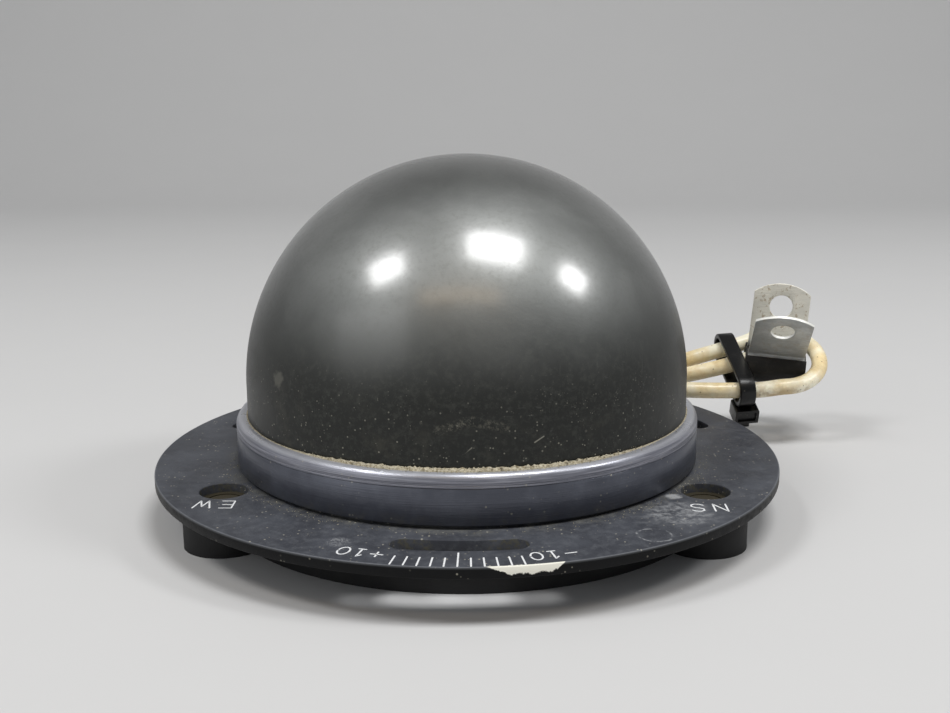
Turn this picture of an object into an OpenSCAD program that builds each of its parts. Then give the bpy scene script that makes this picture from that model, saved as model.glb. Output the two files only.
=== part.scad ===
// Compass flux detector: a fluid bowl on a slotted flange, with a gimballed sensing element inside
// and a two-knob magnetic compensator underneath. It stands dome up on the compensator pan.
// Millimetres. +Z up, origin on the floor under the dome's axis, index scale towards -Y.

/* [Flange] */
// Diameter of the mounting flange
flange_d = 120.65; // [119:0.05:126]
// Thickness of the mounting flange
flange_t = 2; // [1.8:0.1:3]
// Chamfer on both edges of the flange's rim
rim_chamfer = 0.25; // [0.1:0.05:0.5]
// Depth of the seat for the pan in the flange's underside
seat_depth = 0.3; // [0.2:0.05:0.5]
// Radius of the curved mounting slots' centre line
slot_r = 51.3; // [51:0.1:53]
// Width of the mounting slots
slot_w = 4.5; // [4.2:0.1:5]
// Angle from the middle of a slot to the centre of its round end
slot_half_angle = 10; // [6:1:12]
// Diameter of the two holes over the compensator knobs
access_d = 8.7; // [8:0.1:9.5]

/* [Clamp ring and dome] */
// Outer diameter of the dome
dome_d = 85; // [84.6:0.1:86]
// Wall of the dome
dome_wall = 2; // [1.6:0.1:2.4]
// Height of the dome's sphere centre above the flange's top
dome_centre_h = 15.6; // [14.5:0.1:17]
// Width of the bead at the foot of the dome, outside its wall
bead_w = 0.9; // [0.7:0.05:1]
// Height of the bead at the foot of the dome
bead_h = 2; // [1.5:0.1:3]
// Thickness of the seal under the dome
seal_t = 0.6; // [0.4:0.05:1]
// Wall of the clamp ring outside its thread
ring_wall = 1.15; // [1:0.05:1.4]
// Height of the clamp ring above the flange's top
ring_h = 9.5; // [8.5:0.1:11]
// Radius of the clamp ring's outer top edge
ring_round = 1.5; // [0.8:0.1:1.6]
// Gap between the clamp ring and the flange
ring_gap = 0.6; // [0.2:0.1:0.8]
// Gap between the clamp ring's lip and the dome
lip_gap = 0.25; // [0.15:0.05:0.3]
// Height of the flange's threaded spigot inside the clamp ring
spigot_h = 3; // [2.5:0.1:4]
// Wall of the flange's threaded spigot
spigot_wall = 1.6; // [1.2:0.1:2]

/* [Pivot] */
// Diameter of the gimbal pins
pin_d = 1.8; // [1.4:0.1:2]
// Width of the gimbal cross
cross_w = 7.2; // [6.8:0.1:7.6]
// Height of the gimbal cross
cross_h = 4.4; // [3.6:0.1:4.8]
// Gap between the cross and each yoke ear
ear_gap = 0.6; // [0.4:0.1:0.8]
// Thickness of the yoke ears
ear_t = 2.2; // [1.8:0.1:2.6]
// Width of the yoke ears
ear_w = 5; // [4.4:0.1:5.4]
// Depth of the fixed yoke's foot below the pivot
foot_drop = 7.6; // [7:0.1:8]
// Diameter of the suspension post
post_d = 6.4; // [5.4:0.1:7]
// Thread diameter of the post's lower end
post_stud_d = 5; // [4:0.1:5.2]

/* [Sensing element] */
// Height of the sensing element's underside above the pivot
element_rise = 9.5; // [9.5:0.1:11]
// Thickness of the yoke's plate that carries the element
yoke_plate_t = 2; // [1.5:0.1:2.5]
// Thickness of each of the two stacks of core laminations
core_t = 1.2; // [0.8:0.1:1.6]
// Space between the two stacks
core_gap = 5; // [4.5:0.1:5.5]
// Width of the three core legs
leg_w = 5; // [4:0.1:6]
// Gap between the collector horns' upper edge and the dome
horn_gap = 2.47; // [2:0.01:4.5]
// Width of the collector horns
horn_w = 5; // [4:0.1:5.5]
// Angle from a leg's centre line to the end of its horn
horn_half_angle = 38; // [32:1:44]
// Distance from the axis to the inner end of a pickup bobbin
pickup_r = 14; // [13.6:0.1:15]
// Length of a pickup bobbin
pickup_len = 12; // [9:0.1:12.5]
// Depth of the pickup winding
pickup_wind = 3; // [2:0.1:3]
// Outer radius of the exciter bobbin
exciter_r = 10.5; // [8:0.1:11]
// Wall of the bobbins
bobbin_wall = 0.6; // [0.5:0.05:0.8]
// Diameter of the pendulum weight
weight_d = 23; // [16:0.5:24]
// Height of the pendulum weight
weight_h = 8; // [4:0.5:9]
// Diameter of the bolt through the element
bolt_d = 3; // [2.5:0.1:3.2]

/* [Compensator] */
// Height of the compensator pan below the flange
pan_h = 8; // [7.9:0.1:9]
// Outer radius of the compensator pan
pan_r = 47.5; // [47.4:0.1:47.8]
// Wall and floor of the compensator pan
pan_wall = 1.2; // [1:0.05:1.3]
// Thickness of the pan's gasket
gasket_t = 0.5; // [0.3:0.05:0.6]
// Outer radius of the pan's lobe under each access hole
lobe_r = 7.6; // [7.5:0.1:8]
// Distance of the compensator knobs outside the pan's round body
knob_out = 2.3; // [2:0.1:2.5]
// Module of the compensator gears
gear_module = 0.5; // [0.48:0.01:0.51]
// Teeth on each knob's pinion
pinion_teeth = 14; // [12:2:16]
// Teeth on each magnet gear
gear_teeth = 36; // [36:12:36]
// Thickness of the gears
gear_t = 1.7; // [1.2:0.1:1.7]
// Play between meshing teeth at the pitch circle
backlash = 0.12; // [0.1:0.01:0.16]
// Thickness of the compensator plate
plate_t = 1.6; // [1.5:0.1:1.6]
// Diameter of the slotted knob heads
knob_d = 6; // [5:0.1:6.2]
// Diameter of the knob shafts
knob_shaft_d = 3; // [2.4:0.1:3.2]
// Diameter of the studs that the magnet gears turn on
stud_d = 2.4; // [2:0.1:2.6]
// Length of the compensator magnets
magnet_len = 13; // [10:0.5:14]
// Width of the compensator magnets
magnet_w = 3.6; // [3.2:0.1:5]
// Thickness of the compensator magnets
magnet_t = 1.4; // [1:0.1:1.4]

/* [Wiring] */
// Angle from +X to the terminals and the cable entry
entry_angle = 120; // [116:1:124]
// Radius of the terminal circle
terminal_r = 16; // [15:0.5:17]
// Diameter of the terminal pins
terminal_d = 1; // [0.8:0.1:1.2]
// Thickness of the terminal board
board_t = 1.6; // [1.2:0.1:2]
// Diameter of the cable's cores
core_wire_d = 1; // [0.8:0.1:1.1]

/* [Cable] */
// Diameter of the cable
cable_d = 3.6; // [3.2:0.1:3.8]
// Distance from the axis to the mouth of the cable gland
gland_end_r = 54.5; // [54:0.5:55]
// Distance between the two runs of the cable's end fold
fold_w = 19.6; // [19.2:0.1:20]
// Width of the cable tie
tie_w = 4; // [3.5:0.1:4.5]
// Thickness of the cable tie's strap
tie_t = 1.1; // [0.8:0.1:1.2]
// Width of the loop clamp's band
band_w = 12.7; // [12:0.1:13]
// Thickness of the loop clamp's band
band_t = 0.8; // [0.6:0.05:0.9]
// Outer diameter of the loop clamp's cushion
cushion_d = 6.8; // [6.4:0.1:7]
// Length of the loop clamp's ears
clamp_ear_len = 15; // [12.5:0.5:16.5]
// Diameter of the holes in the clamp's ears
clamp_hole_d = 5.2; // [4:0.1:5.4]

/* [Hidden] */
$fn = 96;
eps = 0.01;

// Fits shared by the pieces
run_fit = 0.05;
snug_fit = 0.03;
end_play = 0.2;
seat_fit = 0.3;
screw_skin = 0.55;

// Heights
under_z = pan_h;
seat_z = pan_h + seat_depth;
top_z = pan_h + flange_t;
ring_top_z = top_z + ring_h;
spigot_z = top_z + spigot_h;
bead_z = spigot_z + seal_t;
lip_z = bead_z + bead_h;
pivot_z = top_z + dome_centre_h;

// Clamp ring, spigot and dome, from the axis outwards
dome_r = dome_d / 2;
dome_in_r = dome_r - dome_wall;
bead_r = dome_r + bead_w;
lip_r = dome_r + lip_gap;
thread_r = bead_r + 0.15;
spigot_r = thread_r - run_fit;
spigot_in_r = spigot_r - spigot_wall;
ring_r = thread_r + ring_wall;

// Mounting slots and access holes
slot_angles = [-90, 30, 150];
ns_angle = -30;
ew_angle = -150;

// Pivot
pin_r = pin_d / 2;
pin_bite = 2.2;
ear_in = cross_w / 2 + ear_gap;
ear_out = ear_in + ear_t;
pin_over = 0.2;
yoke_foot_t = 3;
yoke_foot_z = pivot_z - foot_drop;
post_shoulder_r = 5;
post_shoulder_t = 2;
post_spigot_r = 1.2;
post_nut_t = 2.8;
nut_flat = 8;

// Sensing element, as heights above the floor
plate_z = pivot_z + element_rise;
inner_z = plate_z + yoke_plate_t;
spool_z = inner_z + core_t;
outer_z = spool_z + core_gap;
weight_z = outer_z + core_t;
weight_top_z = weight_z + weight_h;
element_mid_z = (inner_z + weight_z) / 2;
leg_angles = [90, 210, 330];
hub_r = 7;
yoke_plate_r = 7.5;
bolt_r = bolt_d / 2;
bolt_head_r = 2.6;
bolt_head_t = 1.8;
weight_nut_t = 2.4;
weight_nut_flat = 5.5;
horn_r = sqrt(pow(dome_in_r - horn_gap, 2) - pow(weight_z - pivot_z, 2));
horn_in_r = horn_r - horn_w;
horn_mid_r = horn_r - horn_w / 2;
spool_r = 4;
spacer_angle = horn_half_angle * 0.66;
spacer_r = 1.5;
rivet_r = 0.75;
rivet_head_r = 1.4;
rivet_head_t = 0.6;
leg_fit = 0.2;
window_w = leg_w + 2 * leg_fit;
window_h = core_gap + 2 * core_t + 2 * leg_fit;

// Compensator, from the flange downwards
plate_low_z = seat_z - plate_t;
knob_web_t = 0.6;
knob_top_z = seat_z - 0.1;
knob_head_z = plate_low_z + knob_web_t + 0.1;
gasket_z = seat_z - gasket_t;
magnet_z = pan_wall + 0.9;
gear_z = magnet_z + magnet_t;
gear_top_z = gear_z + gear_t;
stud_r = stud_d / 2;
stud_head_r = 2.1;
stud_head_t = 0.4;
stud_shoulder_r = 2.2;
stud_rivet_r = 1;
pinion_r = gear_module * pinion_teeth / 2;
gear_r = gear_module * gear_teeth / 2;
knob_r = pan_r + knob_out;
gear_a_r = knob_r - pinion_r - gear_r;
pair_gap = 2 * gear_r;
tooth_add = 0.8;
tooth_ded = 1.1;
pressure_angle = 25;
flank_steps = 3;
ns_knob_xy = polar(knob_r, ns_angle);
ew_knob_xy = polar(knob_r, ew_angle);
ns_a_xy = polar(gear_a_r, ns_angle);
ew_a_xy = polar(gear_a_r, ew_angle);
ns_b_xy = ns_a_xy + [0, pair_gap];
ew_b_xy = ew_a_xy + [0, pair_gap];
plate_arm_r = 5;
plate_lug_r = 4;
plate_lug_xy = [31, 12.5];
plate_bar_x = 14;
plate_screw_xy = [[plate_bar_x, ns_a_xy[1]], [-plate_bar_x, ns_a_xy[1]], plate_lug_xy,
    [-plate_lug_xy[0], plate_lug_xy[1]]];
plate_screw_r = 0.9;
plate_head_r = 1.7;
plate_head_t = 1;

// Pan screws
pan_screw_angles = [-112, -68, 35, 145];
boss_r = 3;
pan_screw_r = pan_r - pan_wall - boss_r - 1.3;
pan_thread_r = 1.2;
pan_head_r = 2.2;
pan_head_t = 1.3;
pan_head_z = 0.15;

// Wiring
terminal_angles = [for (i = [-2 : 2]) entry_angle + 20 * i];
terminal_low_z = seat_z - 3.3;
terminal_top_z = top_z + 4;
terminal_seal_r = 1.6;
board_in_r = terminal_r - 4;
board_out_r = terminal_r + 4;
board_half_angle = 54;
filler_xy = polar(22, 30);
filler_r = 2;
filler_head_r = 3.4;
filler_head_t = 1.4;

// Gland and cable
cable_r = cable_d / 2;
cable_z = 3.5;
gland_in_r = pan_r - pan_wall - 1;
gland_body_r = cable_r + 0.5;
gland_boss_r = cable_r + 1.2;
gland_tip_r = cable_r + 0.8;
gland_top_z = under_z - 2.1;
tail_in_r = gland_in_r - 4.8;
bundle_r = 1.2;
cable_sides = 8;
wire_sides = 6;

// Route of the cable's centre line from the gland, round the back, over the rim, to the end fold,
// back down to the floor, round and up again into the loop clamp
lead_turn = [-22.6, 63.2];
lead_turn_r = 12;
floor_z = cable_r + 0.1;
lead_turn_stops = [[210, 2.8], [185, floor_z + 0.1], [160, floor_z], [135, floor_z + 0.2],
    [110, 3.2], [85, 5], [55, 8.4]];
lead_over = [[-10.5, 69.3, 11.4], [-4.8, 65.3, 13.2], [1.2, 61.2, 13.6], [8, 56.6, 13],
    [16, 52, 12.3], [24, 47.5, 12.1], [32, 43.2, 12.1], [40, 39.6, 12.3], [48, 37.8, 12.5],
    [55, 37.2, 12.5], [60.5, 36.9, 12.6], [65.5, 36.4, 12.9]];
fold_centre = [70.2, 44.6, 18.2];
fold_tilt = 27.5;
back_run = [[65.2, 52, 20.7], [60.5, 51, 19.4], [55, 51.2, 17.7], [49.5, 53.8, 15.4],
    [43.5, 59.5, 13.3], [37.5, 66.2, 10.3], [31.5, 73, 7.3], [25.5, 79.3, 4.6]];
floor_turn = [12, 77];
floor_turn_r = 9.5;
last_run = [[14.5, 66.3, floor_z + 0.3], [21, 63.3, 3.9], [28, 59.4, 6.2], [35, 55.2, 8.9],
    [42, 51.3, 11.1], [48.5, 48.3, 13.1], [54.5, 46.1, 15], [59.5, 45.7, 16.4]];
clamp_centre = [69.85, 45.1, 16.8];
clamp_turn = [0, 4.8, -7.5];
clamp_dir = [cos(clamp_turn[2]) * cos(clamp_turn[1]), sin(clamp_turn[2]) * cos(clamp_turn[1]),
    -sin(clamp_turn[1])];
entry_dir = [cos(entry_angle), sin(entry_angle), 0];
cable_route = concat(
    [for (r = [gland_end_r, 58, 62]) r * entry_dir + [0, 0, r > 60 ? 3.2 : cable_z]],
    [for (s = lead_turn_stops) turn_point(lead_turn, lead_turn_r, s)],
    lead_over,
    [for (a = [0 : 15 : 180]) fold_point(a)],
    back_run,
    [for (a = [50 : 22 : 248]) turn_point(floor_turn, floor_turn_r, [a, a > 50 ? floor_z : 2.7])],
    last_run,
    [for (t = [-7.4, 0, 5.5]) clamp_centre + t * clamp_dir]);

// Tie and loop clamp
tie_centre = [60.62, 43.99, 15.88];
tie_tilt = 24.2;
tie_slant = 7.1;
tie_reach = 7.8;
tie_room = 0.8;
tie_head = [4.6, 5, 4];
cushion_over = 0.4;
band_in_r = cushion_d / 2;
band_mid_r = band_in_r + band_t / 2;
front_root = 134;
back_root = 78;
front_lean = 44;
back_lean = -1.5;
ear_bend = 1;
ear_bend_angle = 14;
ear_crown_r = 10;
ear_crown_drop = 4;
ear_hole_drop = 5.3;

// Point at a radius and an angle from +X
function polar(r, a) = r * [cos(a), sin(a)];

// Points of an arc about c
function arc(c, r, a0, a1, n) = [for (i = [0 : n]) c + polar(r, a0 + (a1 - a0) * i / n)];

// Outline of a strip with round ends between p and q
function capsule(p, q, r, n = 12) =
    let (a = atan2(q[1] - p[1], q[0] - p[0]))
    concat(arc(q, r, a - 90, a + 90, n), arc(p, r, a + 90, a + 270, n));

// Outline of a curved slot about the axis
function curved_slot(r, w, mid, half) = concat(
    arc([0, 0], r + w / 2, mid - half, mid + half, 10),
    arc(polar(r, mid + half), w / 2, mid + half + 20, mid + half + 160, 7),
    arc([0, 0], r - w / 2, mid + half, mid - half, 10),
    arc(polar(r, mid - half), w / 2, mid - half - 160, mid - half - 20, 7));

// Involute tooth: roll angle, and half the angle of a tooth at radius r
function roll(rb, r) = let (a = acos(min(1, rb / r))) tan(a) * 180 / PI - a;
function tooth_half(teeth, rp, rb, r) =
    90 / teeth - backlash / rp * 45 / PI + roll(rb, rp) - roll(rb, max(r, rb));

// Outline of a spur gear whose first tooth points at angle a0
function gear_outline(teeth, a0) =
    let (rp = gear_module * teeth / 2)
    let (rb = rp * cos(pressure_angle))
    let (tip = rp + tooth_add * gear_module)
    let (root = rp - tooth_ded * gear_module)
    let (low = max(rb, root))
    [for (t = [0 : teeth - 1]) each concat(
        rb > root ? [polar(root, a0 + 360 * t / teeth - tooth_half(teeth, rp, rb, low))] : [],
        [for (i = [0 : flank_steps]) let (r = low + (tip - low) * i / flank_steps)
            polar(r, a0 + 360 * t / teeth - tooth_half(teeth, rp, rb, r))],
        [for (i = [flank_steps : -1 : 0]) let (r = low + (tip - low) * i / flank_steps)
            polar(r, a0 + 360 * t / teeth + tooth_half(teeth, rp, rb, r))],
        rb > root ? [polar(root, a0 + 360 * t / teeth + tooth_half(teeth, rp, rb, low))] : [])];

// Points of the cable's turns: stop is [angle, height]
function turn_point(c, r, stop) = [c[0] + r * cos(stop[0]), c[1] + r * sin(stop[0]), stop[1]];
function fold_point(a) = fold_centre + fold_w / 2
    * [sin(a), -cos(a) * cos(fold_tilt), -cos(a) * sin(fold_tilt)];

// Direction of a route at point i, and one ring of a tube square to it
function unit(v) = v / norm(v);
function heading(route, i) = unit(route[min(i + 1, len(route) - 1)] - route[max(i - 1, 0)]);
function ring(p, dir, r, sides) =
    let (side = unit(cross(dir, abs(dir[2]) > 0.9 ? [1, 0, 0] : [0, 0, 1])))
    let (rise = cross(side, dir))
    [for (k = [0 : sides - 1]) p + r * (cos(360 * k / sides) * side + sin(360 * k / sides) * rise)];

// A round tube along a route, closed at both ends
module tube(route, r, sides) {
    rings = len(route);
    points = [for (i = [0 : rings - 1]) each ring(route[i], heading(route, i), r, sides)];
    walls = [for (i = [0 : rings - 2], k = [0 : sides - 1])
        let (a = i * sides + k, b = i * sides + (k + 1) % sides)
        each [[a, b, b + sides], [a, b + sides, a + sides]]];
    near_cap = [for (k = [1 : sides - 2]) [0, k + 1, k]];
    far = (rings - 1) * sides;
    far_cap = [for (k = [1 : sides - 2]) [far, far + k, far + k + 1]];
    polyhedron(points, concat(walls, near_cap, far_cap));
}

// Length of a route, and the gap between a tube's ring i and its stretch after point j
function route_length(route, i = 1) =
    i < len(route) ? norm(route[i] - route[i - 1]) + route_length(route, i + 1) : 0;
function to_stretch(p, a, b) =
    norm(p - a - (b - a) * max(0, min(1, (p - a) * (b - a) / ((b - a) * (b - a)))));
function stretch_gap(route, i, j) =
    min([for (p = ring(route[i], heading(route, i), cable_r, cable_sides))
        to_stretch(p, route[j], route[j + 1])]) - cable_r;
last_ring = len(cable_route) - 1;

// The cut end is flat, so the last stretch is measured from its own ring and not to it
echo(cable_length = route_length(cable_route),
    cable_least_gap = min([for (i = [0 : last_ring], j = [0 : last_ring - 2])
        if (abs(j - i) > 5) stretch_gap(cable_route, i, j)]));

module at(xy, z = 0) {
    translate([xy[0], xy[1], z]) children();
}

module pan_outline(grow) {
    circle(r = pan_r + grow);
    at(ns_knob_xy) circle(r = lobe_r + grow);
    at(ew_knob_xy) circle(r = lobe_r + grow);
}

// Hexagonal bar, flats across
module hex(flat, h) {
    cylinder(r = flat / 2 / cos(30), h = h, $fn = 6);
}

module mounting_flange() {
    r = flange_d / 2;
    profile = [[0, under_z], [r - rim_chamfer, under_z], [r, under_z + rim_chamfer],
        [r, top_z - rim_chamfer], [r - rim_chamfer, top_z], [spigot_r, top_z],
        [spigot_r, spigot_z], [spigot_in_r, spigot_z], [spigot_in_r, top_z], [0, top_z]];
    blind = top_z - screw_skin - seat_z;
    color([0.13, 0.13, 0.15])
    difference() {
        rotate_extrude() polygon(profile);
        translate([0, 0, under_z - 1]) linear_extrude(1 + seat_depth) pan_outline(seat_fit);
        for (a = slot_angles)
            translate([0, 0, under_z - 1]) linear_extrude(flange_t + 2)
                polygon(curved_slot(slot_r, slot_w, a, slot_half_angle));
        for (p = [ns_knob_xy, ew_knob_xy]) at(p, under_z) cylinder(d = access_d, h = flange_t + 1);
        translate([0, 0, under_z]) cylinder(r = post_stud_d / 2 + snug_fit, h = flange_t + 1);
        at(filler_xy, under_z) cylinder(r = filler_r + snug_fit, h = flange_t + 1);
        for (a = terminal_angles)
            at(polar(terminal_r, a), under_z) cylinder(r = terminal_seal_r, h = flange_t + 1);
        for (a = pan_screw_angles)
            at(polar(pan_screw_r, a), seat_z - 1) cylinder(r = pan_thread_r + snug_fit, h = blind + 1);
        for (p = plate_screw_xy)
            at(p, seat_z - 1) cylinder(r = plate_screw_r + snug_fit, h = blind + 1);
    }
}

module clamp_ring() {
    profile = concat([[thread_r, top_z + ring_gap], [ring_r, top_z + ring_gap]],
        arc([ring_r - ring_round, ring_top_z - ring_round], ring_round, 0, 90, 6),
        [[lip_r, ring_top_z], [lip_r, lip_z], [thread_r, lip_z]]);
    color([0.2, 0.21, 0.25]) rotate_extrude() polygon(profile);
}

module dome() {
    profile = concat([[dome_in_r, bead_z], [bead_r, bead_z], [bead_r, lip_z], [dome_r, lip_z]],
        arc([0, pivot_z], dome_r, 0, 90, 30),
        arc([0, pivot_z], dome_in_r, 90, 0, 30));
    color([0.1, 0.1, 0.1]) rotate_extrude() polygon(profile);
}

module bowl_seal() {
    color([0.25, 0.1, 0.08]) translate([0, 0, spigot_z]) difference() {
        cylinder(r = spigot_r - snug_fit, h = seal_t);
        translate([0, 0, -1]) cylinder(r = spigot_in_r, h = seal_t + 2);
    }
}

module filler_plug() {
    color([0.75, 0.65, 0.35]) at(filler_xy, 0) {
        translate([0, 0, seat_z - filler_head_t]) difference() {
            cylinder(r = filler_head_r, h = filler_head_t);
            translate([-filler_head_r, -0.4, -1]) cube([2 * filler_head_r, 0.8, 1.6]);
        }
        translate([0, 0, seat_z - eps]) cylinder(r = filler_r, h = top_z - seat_z + eps);
    }
}

module suspension_post() {
    color([0.72, 0.6, 0.3]) {
        translate([0, 0, top_z]) cylinder(r = post_shoulder_r, h = post_shoulder_t);
        translate([0, 0, top_z + post_shoulder_t - eps])
            cylinder(d = post_d, h = yoke_foot_z - yoke_foot_t - top_z - post_shoulder_t + eps);
        translate([0, 0, yoke_foot_z - yoke_foot_t - eps])
            cylinder(r = post_spigot_r, h = yoke_foot_t + eps);
        translate([0, 0, seat_z - post_nut_t - 0.6])
            cylinder(d = post_stud_d, h = top_z - seat_z + post_nut_t + 0.6 + eps);
    }
}

module post_nut() {
    color([0.7, 0.7, 0.72]) translate([0, 0, seat_z - post_nut_t]) difference() {
        hex(nut_flat, post_nut_t);
        translate([0, 0, -1]) cylinder(r = post_stud_d / 2 + snug_fit, h = post_nut_t + 2);
    }
}

// One yoke ear square to X, from height z0 to the round end past the pivot at z1
module yoke_ear(x, z0, z1) {
    translate([x, 0, 0]) rotate([90, 0, 90]) linear_extrude(ear_t)
        polygon(z1 > z0
            ? concat([[-ear_w / 2, z0], [ear_w / 2, z0]], arc([0, z1], ear_w / 2, 0, 180, 12))
            : concat([[ear_w / 2, z0], [-ear_w / 2, z0]], arc([0, z1], ear_w / 2, 180, 360, 12)));
}

module pin_bore() {
    translate([0, 0, pivot_z]) rotate([0, 90, 0])
        cylinder(r = pin_r + run_fit, h = 4 * ear_out, center = true);
}

module fixed_yoke() {
    color([0.72, 0.6, 0.3]) difference() {
        union() {
            translate([-ear_out, -ear_w / 2, yoke_foot_z - yoke_foot_t])
                cube([2 * ear_out, ear_w, yoke_foot_t]);
            for (x = [ear_in, -ear_out]) yoke_ear(x, yoke_foot_z - eps, pivot_z);
        }
        pin_bore();
        translate([0, 0, yoke_foot_z - yoke_foot_t - 1])
            cylinder(r = post_spigot_r + snug_fit, h = yoke_foot_t + 2);
    }
}

module gimbal_cross() {
    color([0.75, 0.75, 0.78]) difference() {
        translate([-cross_w / 2, -cross_w / 2, pivot_z - cross_h / 2])
            cube([cross_w, cross_w, cross_h]);
        for (a = [0 : 90 : 270]) rotate(a)
            translate([cross_w / 2 - pin_bite, 0, pivot_z]) rotate([0, 90, 0])
                cylinder(r = pin_r, h = pin_bite + 1);
    }
}

module gimbal_pins() {
    color([0.85, 0.85, 0.87]) for (a = [0 : 90 : 270]) rotate(a)
        translate([cross_w / 2 - pin_bite, 0, pivot_z]) rotate([0, 90, 0])
            cylinder(r = pin_r, h = ear_out + pin_over - cross_w / 2 + pin_bite);
}

module pendulum_yoke() {
    color([0.72, 0.6, 0.3]) difference() {
        union() {
            translate([0, 0, plate_z]) cylinder(r = yoke_plate_r, h = yoke_plate_t);
            rotate(90) for (x = [ear_in, -ear_out]) yoke_ear(x, plate_z + eps, pivot_z);
        }
        rotate(90) pin_bore();
        translate([0, 0, plate_z - 1]) cylinder(r = bolt_r + snug_fit, h = yoke_plate_t + 2);
    }
}

// One stack of laminations: hub, three legs and their collector horns
module core_stack(z) {
    color([0.6, 0.6, 0.63]) translate([0, 0, z]) difference() {
        union() {
            cylinder(r = hub_r, h = core_t);
            for (a = leg_angles) rotate(a) {
                translate([0, -leg_w / 2, 0]) cube([horn_mid_r, leg_w, core_t]);
                rotate_extrude(angle = 2 * horn_half_angle, start = -horn_half_angle)
                    translate([horn_in_r, 0]) square([horn_w, core_t]);
            }
        }
        translate([0, 0, -1]) cylinder(r = bolt_r + snug_fit, h = core_t + 2);
        for (a = leg_angles, s = [-1, 1])
            at(polar(horn_mid_r, a + s * spacer_angle), -1)
                cylinder(r = rivet_r + snug_fit, h = core_t + 2);
    }
}

module core_inner() {
    core_stack(inner_z);
}

module core_outer() {
    core_stack(outer_z);
}

module core_spool() {
    color([0.55, 0.55, 0.58]) translate([0, 0, spool_z]) difference() {
        cylinder(r = spool_r, h = core_gap);
        translate([0, 0, -1]) cylinder(r = bolt_r + snug_fit, h = core_gap + 2);
    }
}

module exciter_bobbin() {
    h = core_gap - 0.2;
    color([0.85, 0.8, 0.68]) translate([0, 0, spool_z + 0.1]) difference() {
        cylinder(r = exciter_r, h = h);
        translate([0, 0, bobbin_wall]) difference() {
            cylinder(r = exciter_r + 1, h = h - 2 * bobbin_wall);
            cylinder(r = spool_r + 0.1 + bobbin_wall, h = h - 2 * bobbin_wall);
        }
        translate([0, 0, -1]) cylinder(r = spool_r + 0.1, h = h + 2);
    }
}

module exciter_coil() {
    h = core_gap - 0.3 - 2 * bobbin_wall;
    color([0.65, 0.3, 0.12]) translate([0, 0, spool_z + 0.15 + bobbin_wall]) difference() {
        cylinder(r = exciter_r - 0.5, h = h);
        translate([0, 0, -1]) cylinder(r = spool_r + 0.15 + bobbin_wall, h = h + 2);
    }
}

// Rectangular block round a core leg: its width and height in section, from radius r0 for a length
module leg_block(r0, length, w, h) {
    translate([r0, -w / 2, element_mid_z - h / 2]) cube([length, w, h]);
}

module pickup_bobbin(a) {
    w = window_w + 2 * bobbin_wall;
    h = window_h + 2 * bobbin_wall;
    color([0.85, 0.8, 0.68]) rotate(a) difference() {
        union() {
            leg_block(pickup_r, pickup_len, w, h);
            for (r = [pickup_r, pickup_r + pickup_len - bobbin_wall])
                leg_block(r, bobbin_wall, w + 2 * pickup_wind, h + 2 * pickup_wind);
        }
        leg_block(pickup_r - 1, pickup_len + 2, window_w, window_h);
    }
}

module pickup_coil(a) {
    gap = 0.05;
    w = window_w + 2 * bobbin_wall + 2 * gap;
    h = window_h + 2 * bobbin_wall + 2 * gap;
    deep = 2 * (pickup_wind - 0.4);
    color([0.65, 0.3, 0.12]) rotate(a) difference() {
        leg_block(pickup_r + bobbin_wall + gap, pickup_len - 2 * (bobbin_wall + gap), w + deep, h + deep);
        leg_block(pickup_r, pickup_len, w, h);
    }
}

module pickup_bobbin_a() {
    pickup_bobbin(leg_angles[0]);
}

module pickup_bobbin_b() {
    pickup_bobbin(leg_angles[1]);
}

module pickup_bobbin_c() {
    pickup_bobbin(leg_angles[2]);
}

module pickup_coil_a() {
    pickup_coil(leg_angles[0]);
}

module pickup_coil_b() {
    pickup_coil(leg_angles[1]);
}

module pickup_coil_c() {
    pickup_coil(leg_angles[2]);
}

// The children at each of the six horn rivets
module at_rivets() {
    for (a = leg_angles, s = [-1, 1]) at(polar(horn_mid_r, a + s * spacer_angle)) children();
}

module horn_spacers() {
    color([0.8, 0.8, 0.8]) at_rivets() translate([0, 0, spool_z]) difference() {
        cylinder(r = spacer_r, h = core_gap, $fn = 32);
        translate([0, 0, -1]) cylinder(r = rivet_r + snug_fit, h = core_gap + 2, $fn = 32);
    }
}

module horn_rivets() {
    color([0.8, 0.7, 0.4]) at_rivets() {
        translate([0, 0, inner_z - rivet_head_t]) cylinder(r = rivet_head_r, h = rivet_head_t, $fn = 32);
        translate([0, 0, inner_z - eps])
            cylinder(r = rivet_r, h = weight_z - inner_z + 2 * eps, $fn = 32);
        translate([0, 0, weight_z]) cylinder(r = rivet_head_r, h = rivet_head_t, $fn = 32);
    }
}

module pendulum_weight() {
    color([0.75, 0.62, 0.3]) translate([0, 0, weight_z]) difference() {
        cylinder(d = weight_d, h = weight_h);
        translate([0, 0, -1]) cylinder(r = bolt_r + snug_fit, h = weight_h + 2);
    }
}

module pendulum_bolt() {
    color([0.7, 0.7, 0.72]) {
        translate([0, 0, plate_z - bolt_head_t]) cylinder(r = bolt_head_r, h = bolt_head_t);
        translate([0, 0, plate_z - eps])
            cylinder(r = bolt_r, h = weight_top_z - plate_z + weight_nut_t + 0.5 + eps);
    }
}

module weight_nut() {
    color([0.7, 0.7, 0.72]) translate([0, 0, weight_top_z]) difference() {
        hex(weight_nut_flat, weight_nut_t);
        translate([0, 0, -1]) cylinder(r = bolt_r + snug_fit, h = weight_nut_t + 2);
    }
}

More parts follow.
